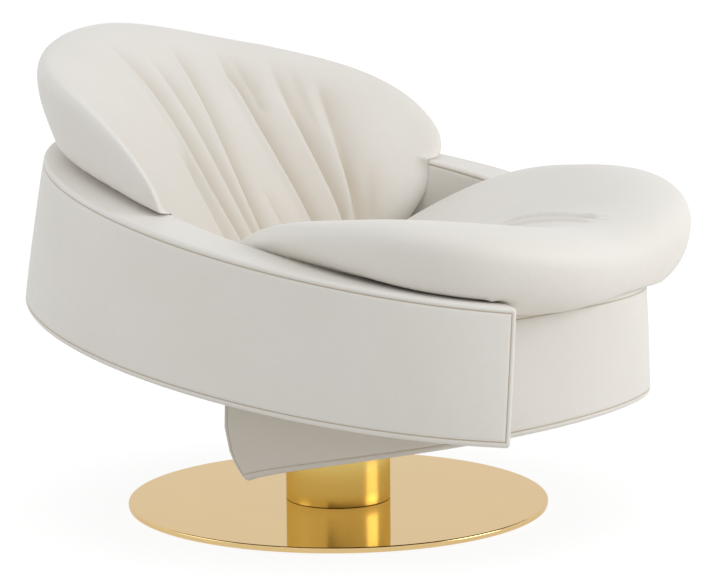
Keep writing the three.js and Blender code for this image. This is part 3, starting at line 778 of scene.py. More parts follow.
@dataclass
class TubWalls(Upholstery):
    """The padded ribbon round the tub, bent along its wall in two lengths.

    The outer band runs round the back from the joint at the sitter's left to its free end by
    the near arm. The inner apron runs on from the joint across the front and in behind that end.
    """

    plywood: bpy.types.Material
    wall: Wall = field(default_factory=Wall)
    slab: PaddedSlab = field(default_factory=PaddedSlab)
    board: PaddedSlab = field(
        default_factory=lambda: PaddedSlab(corner=0.0015, seam_depth=0.0, puff=0.0))
    core_thickness: float = 0.018
    core_foot: float = 0.012
    core_top: float = 0.026
    core_end: float = 0.024
    mouth: float = math.radians(35)
    joint: float = math.radians(95)
    comes_in: float = math.radians(30)
    joint_gap: float = 0.00015
    end_trim_foot: float = math.radians(4.5)
    end_trim_top: float = math.radians(2.4)
    band_thickness: float = 0.082
    apron_thickness: float = 0.062
    apron_inset: float = 0.085
    apron_reach: float = math.radians(90.3)
    apron_foot: float = 0.184
    apron_foot_drop: float = 0.071
    apron_top: float = 0.344
    apron_top_drop: float = 0.060
    nose_foot: float = -0.004
    nose_top: float = 0.015
    lead: float = math.radians(5.4)
    lead_from: float = 0.211
    lead_height: float = 0.098
    lead_power: float = 2.5
    lead_fade_power: float = 6
    # painted warm shade on the apron's wedge under the near arm, standing in for its shade and light
    # off the gold plate
    wedge_shade: float = 0.36
    wedge_shade_at: tuple[float, float] = (math.radians(36), math.radians(58))
    fill_share: float = 0.95
    band_spans: tuple[int, int, int] = (280, 36, 4)
    core_spans: tuple[int, int, int] = (200, 4, 3)
    apron_spans: tuple[int, int, int] = (200, 30, 3)
    under_foot: float = -0.3
    locate_rounds: int = 8
    locate_step: float = 0.3
    least_reach: float = 0.08

    def along_band(self, slab: PaddedSlab, gaps: tuple[float, float], cover: tuple[float, float],
                   depth: float, spans: tuple[int, int, int]) -> tuple[Array, list[list[int]], Array]:
        """Bends a slab along the band, in the middle of its thickness.

        Args:
            slab: The slab.
            gaps: Distances that it keeps from the joint and from the free end.
            cover: Heights left free under it and over it.
            depth: Its thickness.
            spans: Spans along, across and up, between the edges' samples.

        Returns:
            Points, faces, and each point's share of seam.
        """
        start = self.joint + self.wall.span(self.joint, gaps[0])
        end = 2 * math.pi - self.mouth - self.wall.span(self.mouth, gaps[1])
        length, angles, lengths = self.wall.by_length(start, end)
        flat, faces, seam = slab.skin(
            length, lambda along: np.full_like(along, depth),
            lambda along: self.wall.height(np.interp(along, lengths, angles)) - cover[0] - cover[1],
            spans, 0.0)
        angle = np.interp(flat[:, 0], lengths, angles)
        share = (flat[:, 2] + cover[0]) / self.wall.height(angle)
        angle = angle - self.end_trim(share) * (angle - start) / (end - start)
        inset = (self.band_thickness - depth) / 2
        return self.wall.at(angle, flat[:, 1] + inset, share), faces, seam

    def make_band(self) -> bpy.types.Object:
        """Builds the outer band round the back and arms.

        Returns:
            The band.
        """
        points, faces, seam = self.along_band(
            self.slab, (self.joint_gap, 0.0), (0.0, 0.0), self.band_thickness, self.band_spans)
        return self.covered(
            "outer_band_leather", points, faces, "band_upholstery", self.fill_share, seam)

    def make_band_core(self) -> bpy.types.Object:
        """Builds the band's bent plywood core, which ends inside the band's padding.

        Returns:
            The core.
        """
        points, faces, _ = self.along_band(
            self.board, (self.core_end, self.core_end), (self.core_foot, self.core_top),
            self.core_thickness, self.core_spans)
        piece = make_piece(
            "band_core_plywood", points, faces, Body.SEAT, Slot.PLYWOOD, self.plywood)
        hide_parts("band_core")
        return piece

    def make_apron(self) -> bpy.types.Object:
        """Builds the apron across the front, whose free end runs back under the near arm; its wedge
        gets painted warm shade.

        Returns:
            The apron.
        """
        end = self.joint - self.wall.span(self.joint, self.joint_gap)
        length, angles, lengths = self.wall.by_length(-self.apron_reach, end)
        flat, faces, seam = self.slab.skin(
            length, lambda along: self.apron_depth(np.interp(along, lengths, angles)),
            lambda along: self.apron_height(np.interp(along, lengths, angles)), self.apron_spans,
            length)
        angle = np.interp(flat[:, 0], lengths, angles)
        # the wedge's painted shade goes into the same drawn share as the seam
        seam = np.maximum(seam, self.wedge_shade * ramp(-angle, *self.wedge_shade_at))
        points = self.on_apron(
            angle, self.apron_outer(angle) + flat[:, 1], self.apron_foot_at(angle) + flat[:, 2])
        return self.covered(
            "inner_apron_leather", points, faces, "apron_upholstery", self.fill_share, seam)

    def end_trim(self, share: Array) -> Array:
        """Gives how far the band's free end stays back, at shares up the wall."""
        return self.end_trim_foot + (self.end_trim_top - self.end_trim_foot) * share

    def joined(self, angle: Array) -> Array:
        """Gives how much of the band's wall the apron has become, from 0 to 1 at the joint."""
        return ramp(angle, self.comes_in, self.joint)

    def apron_outer(self, angle: Array) -> Array:
        """Gives the inset of the apron's outer face at an angle."""
        return self.apron_inset * (1 - self.joined(angle))

    def apron_depth(self, angle: Array) -> Array:
        """Gives the apron's thickness at an angle."""
        thicker = self.band_thickness - self.apron_thickness
        return self.apron_thickness + thicker * self.joined(angle)

    def drop_share(self, angle: Array) -> Array:
        """Gives how far the apron has dropped at an angle, from 0 to 1."""
        return (np.minimum(angle, self.comes_in) / self.apron_reach) ** 2

    def apron_foot_at(self, angle: Array) -> Array:
        """Gives the height of the apron's foot at an angle."""
        free = self.apron_foot - self.apron_foot_drop * self.drop_share(angle)
        return free + (self.wall.foot.at(angle)[..., 2] - free) * self.joined(angle)

    def apron_height(self, angle: Array) -> Array:
        """Gives the apron's height, foot to top.

        Args:
            angle: Angles round the tub.

        Returns:
            The heights.
        """
        free = self.apron_top - self.apron_top_drop * self.drop_share(angle)
        top = free + (self.wall.top.at(angle)[..., 2] - free) * self.joined(angle)
        return top - self.apron_foot_at(angle)

    def apron_lean(self, angle: Array, z: Array) -> Array:
        """Gives how far the apron leans out of the wall between the arms.

        Args:
            angle: Angles round the tub.
            z: Heights over the floor.

        Returns:
            The distances.
        """
        bulge = np.cos(np.minimum(1, np.abs(angle) / self.mouth) * math.pi / 2) ** 2
        up = (z - self.apron_foot) / (self.apron_top - self.apron_foot)
        return bulge * (self.nose_foot + (self.nose_top - self.nose_foot) * up)

    def on_apron(self, angle: Array, inset: Array, z: Array) -> Array:
        """Gives points of the apron, whose free end curves forward down to its tip.

        Args:
            angle: Angles round the tub.
            inset: Distances into the tub.
            z: Heights over the floor.

        Returns:
            The points.
        """
        down = np.maximum(0, (self.lead_from - z) / self.lead_height) ** self.lead_power
        fade = np.clip(-angle / self.apron_reach, 0, 1) ** self.lead_fade_power
        place = angle + self.lead * down * fade
        return self.wall.at(place, inset - self.apron_lean(angle, z), self.wall.share_at(place, z))

    def locate(self, points: Array) -> tuple[Array, Array, Array]:
        """Finds points in the wall's own terms.

        Args:
            points: Points, one row each.

        Returns:
            Each point's angle, inset and share up the wall.
        """
        rim = self.wall.top
        angle = np.arctan2(points[:, 0] / rim.half_width, (rim.y - points[:, 1]) / rim.half_depth)
        inset = 0 * angle
        for _ in range(self.locate_rounds):
            away = points - self.wall.at(angle, 0 * angle, self.wall.share_at(angle, points[:, 2]))
            inward = self.wall.inward(angle)
            along = np.stack([inward[:, 1], -inward[:, 0]], -1)
            reach = np.hypot(rim.half_width * np.cos(angle), rim.half_depth * np.sin(angle))
            inset = (away * inward).sum(-1)
            slip = (away[:, :2] * along).sum(-1)
            turn = slip / np.maximum(reach - inset, self.least_reach)
            angle = angle + np.clip(turn, -self.locate_step, self.locate_step)
        return angle, inset, self.wall.share_at(angle, points[:, 2])

    def fill(self, points: Array, gap: float) -> Array:
        """Says which points the band or the apron fills.

        Args:
            points: Points, one row each.
            gap: A margin round both.

        Returns:
            True where a point is inside.
        """
        angle, inset, share = self.locate(points)
        turn = np.mod(angle + math.pi, 2 * math.pi) - math.pi
        z = points[:, 2]
        end = self.wall.span(self.mouth, gap) - self.mouth - self.end_trim(share)
        beside = (turn > self.joint) | (turn < end)
        below = ((share - 1) * self.wall.height(angle) < gap) & (share > self.under_foot)
        in_band = beside & below & (inset > -gap) & (inset < self.band_thickness + gap)
        near = self.apron_outer(turn) - self.apron_lean(turn, z)
        high = z < self.apron_foot_at(turn) + self.apron_height(turn) + gap
        across = (turn > -self.apron_reach) & (turn <= self.joint)
        far = near + self.apron_depth(turn)
        in_apron = across & high & (inset > near - gap) & (inset < far + gap)
        return in_band | in_apron


# Cushions


@dataclass(frozen=True)
class Grid:
    """A round net of squares for one cushion: its two faces share their rim."""

    even_rings: int
    rim_rings: int
    even_share: float = 0.94

    def rings(self) -> Array:
        """Gives the share of the outline at each ring, closer together at the rim.

        Returns:
            The shares, from the middle out.
        """
        even = np.linspace(0, self.even_share, self.even_rings + 1)
        turn = math.asin(self.even_share)
        rim = np.sin(np.linspace(turn, math.pi / 2, self.rim_rings + 1))
        return np.concatenate([even, rim[1:]])

    def net(self) -> tuple[Array, Array, Array, Array]:
        """Lays the net out.

        Returns:
            Each grid point's turn and share, the point numbers of the top face and of the
            under face.
        """
        rings = self.rings()
        count = len(rings) - 1
        places = np.arange(-count, count + 1)
        i, j = np.meshgrid(places, places, indexing="ij")
        wide = np.abs(i) > np.abs(j)
        with np.errstate(divide="ignore", invalid="ignore"):
            turn = np.where(wide, math.pi / 4 * j / i, math.pi / 2 - math.pi / 4 * i / j)
        turn[count, count] = 0
        turn = turn + np.where(np.where(wide, i, j) < 0, math.pi, 0)
        level = np.maximum(np.abs(i), np.abs(j))
        top = np.arange(i.size).reshape(i.shape)
        under = top.copy()
        inner = level < count
        under[inner] = i.size + np.arange(inner.sum())
        return turn, rings[level], top, under

    @staticmethod
    def faces(top: Array, under: Array) -> Array:
        """Gives the quads of both faces, one row each.

        Args:
            top: Point numbers of the top face.
            under: Point numbers of the under face.

        Returns:
            The quads.
        """
        quads = []
        for ids, flip in ((top, False), (under, True)):
            corners = (ids[:-1, :-1], ids[1:, :-1], ids[1:, 1:], ids[:-1, 1:])
            rows = np.stack(corners, -1).reshape(-1, 4)
            quads.append(rows[:, ::-1] if flip else rows)
        return np.concatenate(quads)


def dome(share: Array, power: float) -> Array:
    """Gives a pad's profile: one in the middle and zero at its rim."""
    return np.sqrt(np.maximum(0, 1 - np.minimum(1, share) ** power))


@dataclass(frozen=True)
class Fold:
    """A fold sewn or pressed into a cushion: a steep side, a valley and a slow rise.

    The line is given by pairs of place across and place along, in millimetres.
    """

    line: tuple[tuple[float, float], ...]
    depth: float
    steep: float = 3.5
    slow: float = 20
    crest: float = 0.25
    fade_start: float = 30
    fade_end: float = 60
    fade_ratio: float = 3
    rise_power: float = 1.25
    crest_place: float = 2.6
    crest_width: float = 2.2
    curve_degree: int = 3

    def height(self, across: Array, along: Array) -> Array:
        """Gives the fold's height, below zero in its valley.

        Args:
            across: Places across the fold, in millimetres.
            along: Places along it, in millimetres.

        Returns:
            Heights in millimetres.
        """
        ways = np.array(sorted(self.line, key=lambda p: p[1]))
        low, high = ways[0, 1], ways[-1, 1]
        degree = min(self.curve_degree, len(ways) - 1)
        curve = np.polyfit(ways[:, 1], ways[:, 0], degree)
        middle = np.polyval(curve, np.clip(along, low, high))
        off = across - middle
        right = np.exp(-(np.maximum(off, 0) / self.slow) ** self.rise_power)
        left = np.exp(-(np.minimum(off, 0) / self.steep) ** 2)
        crest_at = (off + self.crest_place * self.steep) / (self.crest_width * self.steep)
        shape = -right * left + self.crest * np.exp(-crest_at ** 2)
        fade = ramp(along, low - self.fade_start, low + self.fade_start / self.fade_ratio)
        top = 1 - ramp(along, high - self.fade_end, high + self.fade_end / self.fade_ratio)
        fade = fade * top
        return self.depth * shape * fade


@dataclass
class Cushions(Upholstery):
    """The pleated back cushion and the saddle-shaped seat cushion that it leans over."""

    walls: TubWalls
    gap: float = 0.0008
    core: float = 0.6
    reach: float = 0.03
    halvings: int = 9
    dent_easing: float = 0.5
    lobe_rounds: int = 90
    lobe_easing: float = 0.6
    lobe_ring: tuple[float, float] = (0.62, 0.86)
    lobe_side: tuple[float, float] = (0.25, 0.7)
    back_rounds: int = 24
    seat_rounds: int = 16
    back_fill: float = 0.8
    seat_fill: float = 0.85
    board_tilt: float = math.radians(8.8)
    board_rise: float = 0.020
    back_half_width: float = 0.3885
    back_top: float = 0.3447
    back_foot: float = 0.1806
    back_at: tuple[float, float] = (0.2048, 0.394)
    back_lean: float = math.radians(36)
    back_crown: float = 0.053
    back_crown_power: tuple[float, float] = (3.2, 6.0)
    back_wing: float = 0.1843
    back_wing_power: float = 3.26
    seat_half_width: float = 0.375
    seat_front: float = 0.2795
    seat_rear: float = 0.3853
    seat_at: tuple[float, float] = (-0.1955, 0.2686)
    seat_crown: float = 0.112
    seat_crown_power: float = 2.6
    seat_wall_power: float = 14
    seat_outline: tuple[float, float] = (2.6, 3.76)
    seat_taper: tuple[float, float] = (0.79, 2.16)
    seat_low_taper: tuple[float, float] = (0.28, 3.2)
    seat_rise: float = 0.1695
    seat_rise_power: float = 1.71
    seat_rise_front: float = -0.49
    seat_rise_round: float = 0.08
    seat_slope: tuple[float, float] = (0.0928, -0.0177)
    seat_under: tuple[float, float, float] = (0.305, 0.055, 0.020)
    seat_corner_in: tuple[float, float] = (0.5, 0.8)
    seat_corner_out: tuple[float, float] = (0.92, 1.0)
    pleat_gain: float = 1.3
    pleat_calm: tuple[float, float] = (0.8, 0.97)
    pleat_calm_from: float = -0.4
    # painted shade on the back cushion: in its pleat valleys and darker towards its foot between the
    # arms
    pleat_shade: float = 0.5
    pleat_full: float = 0.012
    low_shade: float = 0.34
    low_shade_up: tuple[float, float] = (-0.16, 0.32)
    low_shade_side: tuple[float, float] = (0.24, 0.34)
    most_shade: float = 0.9
    # painted shade in the seat cushion's crease valleys
    crease_shade: float = 0.4
    crease_full: float = 0.002
    crease_calm: tuple[float, float] = (0.85, 1.0)
    back_grid: Grid = Grid(118, 16)
    seat_grid: Grid = Grid(96, 18)
    pleats: tuple[Fold, ...] = (
        Fold(((-53, 287), (-45, 242), (-42, 178), (-38, 120), (-42, 50), (-47, -14), (-47, -57),
              (-46, -120)), 10, 3.2, 24, 0.3, 40, 90),
        Fold(((-60, 110), (-64, 60), (-70, -1), (-74, -45), (-76, -110)), 4.5, 8, 11, 0.1, 40, 50),
        Fold(((14, 257), (19, 215), (16, 162), (11, 105), (5, 44), (2, -2), (-2, -46), (-6, -120)),
             6, 6, 15, 0.25, 40, 70),
        Fold(((81, 270), (74, 214), (62, 172), (54, 127), (46, 79), (33, 24), (24, -24), (20, -47),
              (12, -120)), 8, 5, 17, 0.3, 40, 60),
        Fold(((76, 20), (78, -18), (75, -47), (70, -120)), 3, 6, 12, 0.2, 30, 30),
        Fold(((166, 240), (155, 187), (150, 137), (146, 89), (144, 45), (142, -3), (139, -55),
              (128, -120)), 11, 3.6, 24, 0.3, 40, 60),
        Fold(((192, 233), (187, 188), (180, 145)), 4, 6, 9, 0.3, 30, 40),
        Fold(((240, 200), (228, 150), (222, 114), (216, 71), (213, 27), (208, -13), (204, -54),
              (190, -115)), 8.5, 4.5, 18, 0.3, 40, 60),
        Fold(((266, 193), (258, 149), (253, 122), (248, 93)), 3, 6, 9, 0.2, 30, 40),
        Fold(((286, 152), (274, 105), (264, 62), (250, 20), (239, -23), (233, -63), (215, -110)),
             8, 4.5, 18, 0.3, 40, 50),
        Fold(((284, 0), (270, -40), (257, -72)), 3, 11, 12, 0.1, 40, 40),
    )
    creases: tuple[Fold, ...] = (
        Fold(((128, -193), (140, -230), (120, -272), (94, -325), (67, -381)),
             -2.4, 3.5, 5, 0.5, 25, 25),
        Fold(((118, -202), (108, -246), (90, -288), (65, -333), (35, -381)),
             -2.2, 3.5, 5, 0.5, 25, 25),
        Fold(((91, -343), (51, -392)), -1.6, 4, 5, 0.4, 20, 20),
    )

    def on_back(self, across: Array, up: Array, out: Array) -> Array:
        """Gives points on the back cushion's leaning plane and out of it.

        Args:
            across: Places to the sitter's left.
            up: Places up the plane.
            out: Distances towards the sitter.

        Returns:
            The points.
        """
        lean, (y, z) = self.back_lean, self.back_at
        return np.stack([
            across + 0 * up,
            y + up * math.sin(lean) - out * math.cos(lean),
            z + up * math.cos(lean) + out * math.sin(lean)], -1)

    def back_faces(self, turn: Array, share: Array, pleated: bool = True) -> tuple[Array, Array]:
        """Gives the back cushion's front and rear face.

        Args:
            turn: Turns round its outline, from the sitter's left.
            share: Shares of the way to the outline.
            pleated: Whether its pleats are pressed in.

        Returns:
            The points of both faces.
        """
        across, up = self.back_places(turn, share)
        wing, thick = self.back_wing_at(across), self.back_thick_at(np.cos(turn) ** 2, share)
        front = wing + thick
        if pleated:
            front = front + self.relief(across, up, share)
        return self.on_back(across, up, front), self.on_back(across, up, wing - thick)

    def relief(self, across: Array, up: Array, share: Array) -> Array:
        """Gives the height of the back cushion's pleats, which fade towards its rim.

        Args:
            across: Places across it.
            up: Places up its plane.
            share: Shares of the way to the outline.

        Returns:
            The heights, below zero in a valley.
        """
        calm = 1 - ramp(share, *self.pleat_calm) * (up > self.pleat_calm_from * self.back_foot)
        folds = sum(fold.height(across * 1000, up * 1000) for fold in self.pleats)
        return self.pleat_gain * folds / 1000 * calm

    def back_shade(self, turn: Array, share: Array) -> Array:
        """Gives the painted shade on the back cushion's front: in its pleats and towards its foot.

        Args:
            turn: Turns round its outline, from the sitter's left.
            share: Shares of the way to the outline.

        Returns:
            The shade, from 0 to 1.
        """
        across, up = self.back_places(turn, share)
        valley = np.clip(-self.relief(across, up, share) / self.pleat_full, 0, 1)
        low = 1 - ramp(up, *self.low_shade_up)
        beside = 1 - ramp(np.abs(across), *self.low_shade_side)
        shade = self.pleat_shade * valley + self.low_shade * low * beside
        return np.clip(shade, 0, self.most_shade)

    def back_places(self, turn: Array, share: Array) -> tuple[Array, Array]:
        """Gives places across and up the back cushion's plane."""
        reach = np.where(np.sin(turn) > 0, self.back_top, self.back_foot)
        return self.back_half_width * np.cos(turn) * share, reach * np.sin(turn) * share

    def back_wing_at(self, across: Array) -> Array:
        """Gives how far the back cushion curves forward at a place across it."""
        return self.back_wing * np.abs(across / self.back_half_width) ** self.back_wing_power

    def back_thick_at(self, sideways: Array, share: Array) -> Array:
        """Gives half of the back cushion's thickness; its wings are rounder than its top."""
        top, side = self.back_crown_power
        return self.back_crown * dome(share, top + (side - top) * sideways)

    def in_back(self, points: Array, gap: float) -> Array:
        """Says which points the back cushion fills, its pleats left out.

        Args:
            points: Points, one row each.
            gap: A margin in front of it.

        Returns:
            True where a point is inside or behind it.
        """
        lean, (y, z) = self.back_lean, self.back_at
        across, back, rise = points[:, 0], points[:, 1] - y, points[:, 2] - z
        up = back * math.sin(lean) + rise * math.cos(lean)
        out = rise * math.sin(lean) - back * math.cos(lean)
        wide = across / self.back_half_width
        tall = up / np.where(up > 0, self.back_top, self.back_foot)
        share = np.hypot(wide, tall)
        thick = self.back_thick_at((wide / np.maximum(share, 1e-6)) ** 2, share)
        return (share < 1) & (out < self.back_wing_at(across) + thick + gap)

    def seat_faces(self, turn: Array, share: Array) -> tuple[Array, Array]:
        """Gives the seat cushion's top and under face; low down its rear corners are fuller.

        Args:
            turn: Turns round its outline, from the sitter's left.
            share: Shares of the way to the outline.

        Returns:
            The points of both faces.
        """
        front_power, rear_power = self.seat_outline
        power = np.where(np.sin(turn) < 0, front_power, rear_power)
        size = (np.abs(np.cos(turn)) ** power + np.abs(np.sin(turn)) ** power) ** (1 / power)
        c, s = np.cos(turn) / size * share, np.sin(turn) / size * share
        taper, taper_power = self.seat_taper
        wide = c * (1 - taper * np.clip(s, 0, 1) ** taper_power)
        x = self.seat_half_width * wide
        y = self.seat_at[0] + np.where(s > 0, self.seat_rear, self.seat_front) * s
        side = np.hypot(wide, self.seat_rise_round) ** self.seat_rise_power
        side = side - self.seat_rise_round ** self.seat_rise_power
        slope, sag = self.seat_slope
        seam = (self.seat_at[1] + self.seat_rise * side * (1 - self.seat_rise_front * s)
                - slope * s - sag * s * s)
        low, low_side, low_front = self.seat_under
        floor = low + low_side * wide ** 2 - low_front * s
        top = seam + self.seat_crown * dome(share, self.seat_crown_power)
        under = seam + (floor - seam) * dome(share, self.seat_wall_power)
        top = top + self.crease_height(x, y, share)
        taper, taper_power = self.seat_low_taper
        low_wide = c * (1 - taper * np.clip(s, 0, 1) ** taper_power)
        body = ramp(share, *self.seat_corner_in) * (1 - ramp(share, *self.seat_corner_out))
        low_x = x + self.seat_half_width * (low_wide - wide) * body
        return np.stack([x, y, top], -1), np.stack([low_x, y, under], -1)

    def crease_height(self, x: Array, y: Array, share: Array) -> Array:
        """Gives the height of the seat cushion's creases, which fade towards its rim."""
        folds = sum(fold.height(x * 1000, y * 1000) for fold in self.creases)
        return folds / 1000 * (1 - ramp(share, *self.crease_calm))

    def under_board(self, points: Array) -> Array:
        """Says which points lie under the top of the tub's floor board.

        Args:
            points: Points, one row each.

        Returns:
            True where a point is under it.
        """
        foot = self.walls.wall.foot
        board = foot.z + (points[:, 1] - foot.y) * math.tan(self.board_tilt)
        return points[:, 2] < board + self.board_rise / math.cos(self.board_tilt)

    @staticmethod
    def eased(values: Array, quads: Array, share: Array | float) -> Array:
        """Moves each point's values towards its neighbours' mean.

        Args:
            values: One row for each point.
            quads: The faces that join them.
            share: How far each point goes, from 0 to 1.

        Returns:
            The eased values.
        """
        ends = np.concatenate([quads[:, [k, (k + 1) % 4]] for k in range(4)])
        count = np.bincount(ends.ravel(), minlength=len(values))[:, None]
        total = np.stack([
            np.bincount(ends.ravel(), values[ends[:, ::-1].ravel(), axis], len(values))
            for axis in range(3)], -1)
        return values + (total / count - values) * share

    def settle(self, points: Array, quads: Array, cores: Array, rounds: int,
               blocked: Callable[[Array, float], Array]) -> Array:
        """Presses a cushion in where something stands in its way, and eases the dents.

        Args:
            points: Its points.
            quads: Its faces.
            cores: The places inside it that its points are pressed towards.
            rounds: How often the dents are eased.
            blocked: Says which points are in something, with a margin.

        Returns:
            The settled points.
        """
        near = np.nonzero(blocked(points, self.reach))[0]
        moved = points.copy()
        for step in range(rounds + 1):
            if step:
                moved = points + self.eased(moved - points, quads, self.dent_easing)
            hit = near[blocked(moved[near], self.gap)]
            free, stuck = np.ones(len(hit)), np.zeros(len(hit))
            way = cores[hit] - moved[hit]
            for _ in range(self.halvings):
                middle = (free + stuck) / 2
                still = blocked(moved[hit] + way * middle[:, None], self.gap)
                stuck, free = np.where(still, middle, stuck), np.where(still, free, middle)
            moved[hit] += way * free[:, None]
        return moved

    def make_back(self) -> bpy.types.Object:
        """Builds the back cushion.

        Returns:
            The cushion.
        """
        turn, share, top, under = self.back_grid.net()
        points, quads = self.joined(*self.back_faces(turn, share), top, under)
        soft = np.zeros((len(points), 1))
        for ids in (top, under):
            soft[ids, 0] = ramp(share, *self.lobe_ring) * ramp(np.abs(np.cos(turn)), *self.lobe_side)
        for _ in range(self.lobe_rounds):
            points = self.eased(points, quads, self.lobe_easing * soft)
        across, up = self.back_places(turn, share)
        middle = self.on_back(self.core * across, self.core * up, self.back_wing_at(across))
        cores, _ = self.joined(middle, middle, top, under)
        settled = self.settle(
            points, quads, cores, self.back_rounds,
            lambda p, gap: self.walls.fill(p, gap) | self.under_board(p))
        shade = np.zeros(len(points))
        # painted shade, drawn on the front face
        shade[top] = self.back_shade(turn, share)
        return self.covered(
            "back_cushion_leather", settled, quads.tolist(), "back_cushion", self.back_fill, shade)

    def make_seat(self) -> bpy.types.Object:
        """Builds the seat cushion, pressed forward by the back cushion.

        Returns:
            The cushion.
        """
        turn, share, top, under = self.seat_grid.net()
        points, quads = self.joined(*self.seat_faces(turn, share), top, under)
        middle = sum(self.seat_faces(turn, share * self.core)) / 2
        cores, _ = self.joined(middle, middle, top, under)
        settled = self.settle(
            points, quads, cores, self.seat_rounds,
            lambda p, gap: self.walls.fill(p, gap) | self.under_board(p) | self.in_back(p, gap))
        shade = np.zeros(len(points))
        x, y = points[top][..., 0], points[top][..., 1]
        # painted shade in the creases' valleys
        valley = np.clip(-self.crease_height(x, y, share) / self.crease_full, 0, 1)
        shade[top] = self.crease_shade * valley
        return self.covered(
            "seat_cushion_leather", settled, quads.tolist(), "seat_cushion", self.seat_fill, shade)

    @staticmethod
    def joined(top_points: Array, under_points: Array,
               top: Array, under: Array) -> tuple[Array, Array]:
        """Joins a cushion's two faces at their rim.

        Args:
            top_points: Points of the top face, over the grid.
            under_points: Points of the under face, over the grid.
            top: Point numbers of the top face.
            under: Point numbers of the under face.

        Returns:
            The points and quads of the closed cushion.
        """
        points = np.zeros((under.max() + 1, 3))
        points[under] = under_points
        points[top] = top_points
        return points, Grid.faces(top, under)


# Base


@dataclass
class Pedestal:
    """The round gold floor plate and the satin tube that stands on it."""

    plate_finish: bpy.types.Material
    tube_finish: bpy.types.Material
    steps: int = 256
    plate_radius: float = 0.300
    plate_low: float = 0.003
    plate_high: float = 0.011
    plate_edge: float = 0.0024
    tube_radius: float = 0.0745
    tube_wall: float = 0.003
    tube_edge: float = 0.0006
    plate_lip: float = 0.0002
    tube_rings: int = 12

    def make_plate(self) -> bpy.types.Object:
        """Builds the floor plate with its rounded bright rim.

        Returns:
            The plate.
        """
        edge, inner = self.plate_edge, self.plate_radius - self.plate_edge
        low, high = self.plate_low, self.plate_high
        profile = [
            (0, low), (inner - self.plate_lip, low), *arc((inner, low + edge), edge, -90, 0, 8),
            (self.plate_radius, (low + high) / 2),
            *arc((inner, high - edge), edge, 0, 90, 8), (inner - self.plate_lip, high), (0, high)]
        piece = make_piece(
            "floor_plate_gold", *turned(profile, self.steps), Body.BASE, Slot.POLISHED_GOLD,
            self.plate_finish)
        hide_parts("base_disc")
        return piece

    def make_tube(self) -> bpy.types.Object:
        """Builds the tube, hollow and with broken edges.

        Returns:
            The tube.
        """
        lowest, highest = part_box("pedestal_tube")
        low, high = lowest.z, highest.z
        outer, inner, edge = self.tube_radius, self.tube_radius - self.tube_wall, self.tube_edge
        profile = [
            *arc((outer - edge, low + edge), edge, -90, 0, 3),
            *[(outer, low + (high - low) * k / self.tube_rings) for k in range(1, self.tube_rings)],
            *arc((outer - edge, high - edge), edge, 0, 90, 3),
            *arc((inner + edge, high - edge), edge, 90, 180, 3),
            *arc((inner + edge, low + edge), edge, 180, 270, 3)]
        profile.append(profile[0])
        points, faces = turned(profile, self.steps)
        keep = len(points) - self.steps
        closed = [[i - keep if i >= keep else i for i in face] for face in faces]
        piece = make_piece(
            "pedestal_tube_gold", points[:keep], closed, Body.BASE, Slot.SATIN_GOLD,
            self.tube_finish)
        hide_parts("pedestal_tube")
        return piece


@dataclass
class HiddenFrame:
    """The CAD nodes that stay as they are and get their finish here."""

    nodes: dict[str, bpy.types.Object]
    finishes: dict[str, bpy.types.Material]
    finish_of: tuple[tuple[str, str], ...] = (
        ("base_pad", "felt"), ("upper_bush", "natural_acetal"), ("lower_bush", "natural_acetal"),
        ("thrust_washer", "natural_acetal"), ("spindle_washer", "natural_acetal"),
        ("swivel_hub", "black_powder_coat"), ("seat_plate", "black_powder_coat"),
        ("floor_board", "birch_plywood"), ("apron_core", "birch_plywood"),
        ("back_panel", "birch_plywood"), ("back_rib", "birch_plywood"),
        ("deck_rail", "birch_plywood"),
        ("webbing_strap", "webbing"), ("dust_cover", "dust_cloth"))

    def dress(self) -> int:
        """Gives each shown CAD node its finish; zinc plated steel unless it is listed.

        Returns:
            How many nodes were dressed.
        """
        dressed = 0
        for name, node in self.nodes.items():
            if node.hide_render:
                continue
            listed = (f for start, f in self.finish_of if name.startswith(start))
            finish = next(listed, "zinc_steel")
            node.data.materials.clear()
            node.data.materials.append(self.finishes[finish])
            dressed += 1
        return dressed


# Studio


@dataclass(frozen=True)
class Lamp:
    """A square soft lamp; its power is in watts."""

    name: str
    place: tuple[float, float, float]
    size: float
    power: float
    colour: tuple[float, float, float]

    def hang(self, target: Vector) -> None:
        """Hangs the lamp so that it faces a place.

        Args:
            target: The place.
        """
        data = bpy.data.lights.new(self.name, "AREA")
        data.size, data.energy, data.color = self.size, self.power, self.colour
        lamp = bpy.data.objects.new(self.name, data)
        lamp.location = self.place
        away = Vector(self.place) - target
        lamp.rotation_mode = "QUATERNION"
        lamp.rotation_quaternion = away.to_track_quat("Z", "Y")
        bpy.context.scene.collection.objects.link(lamp)


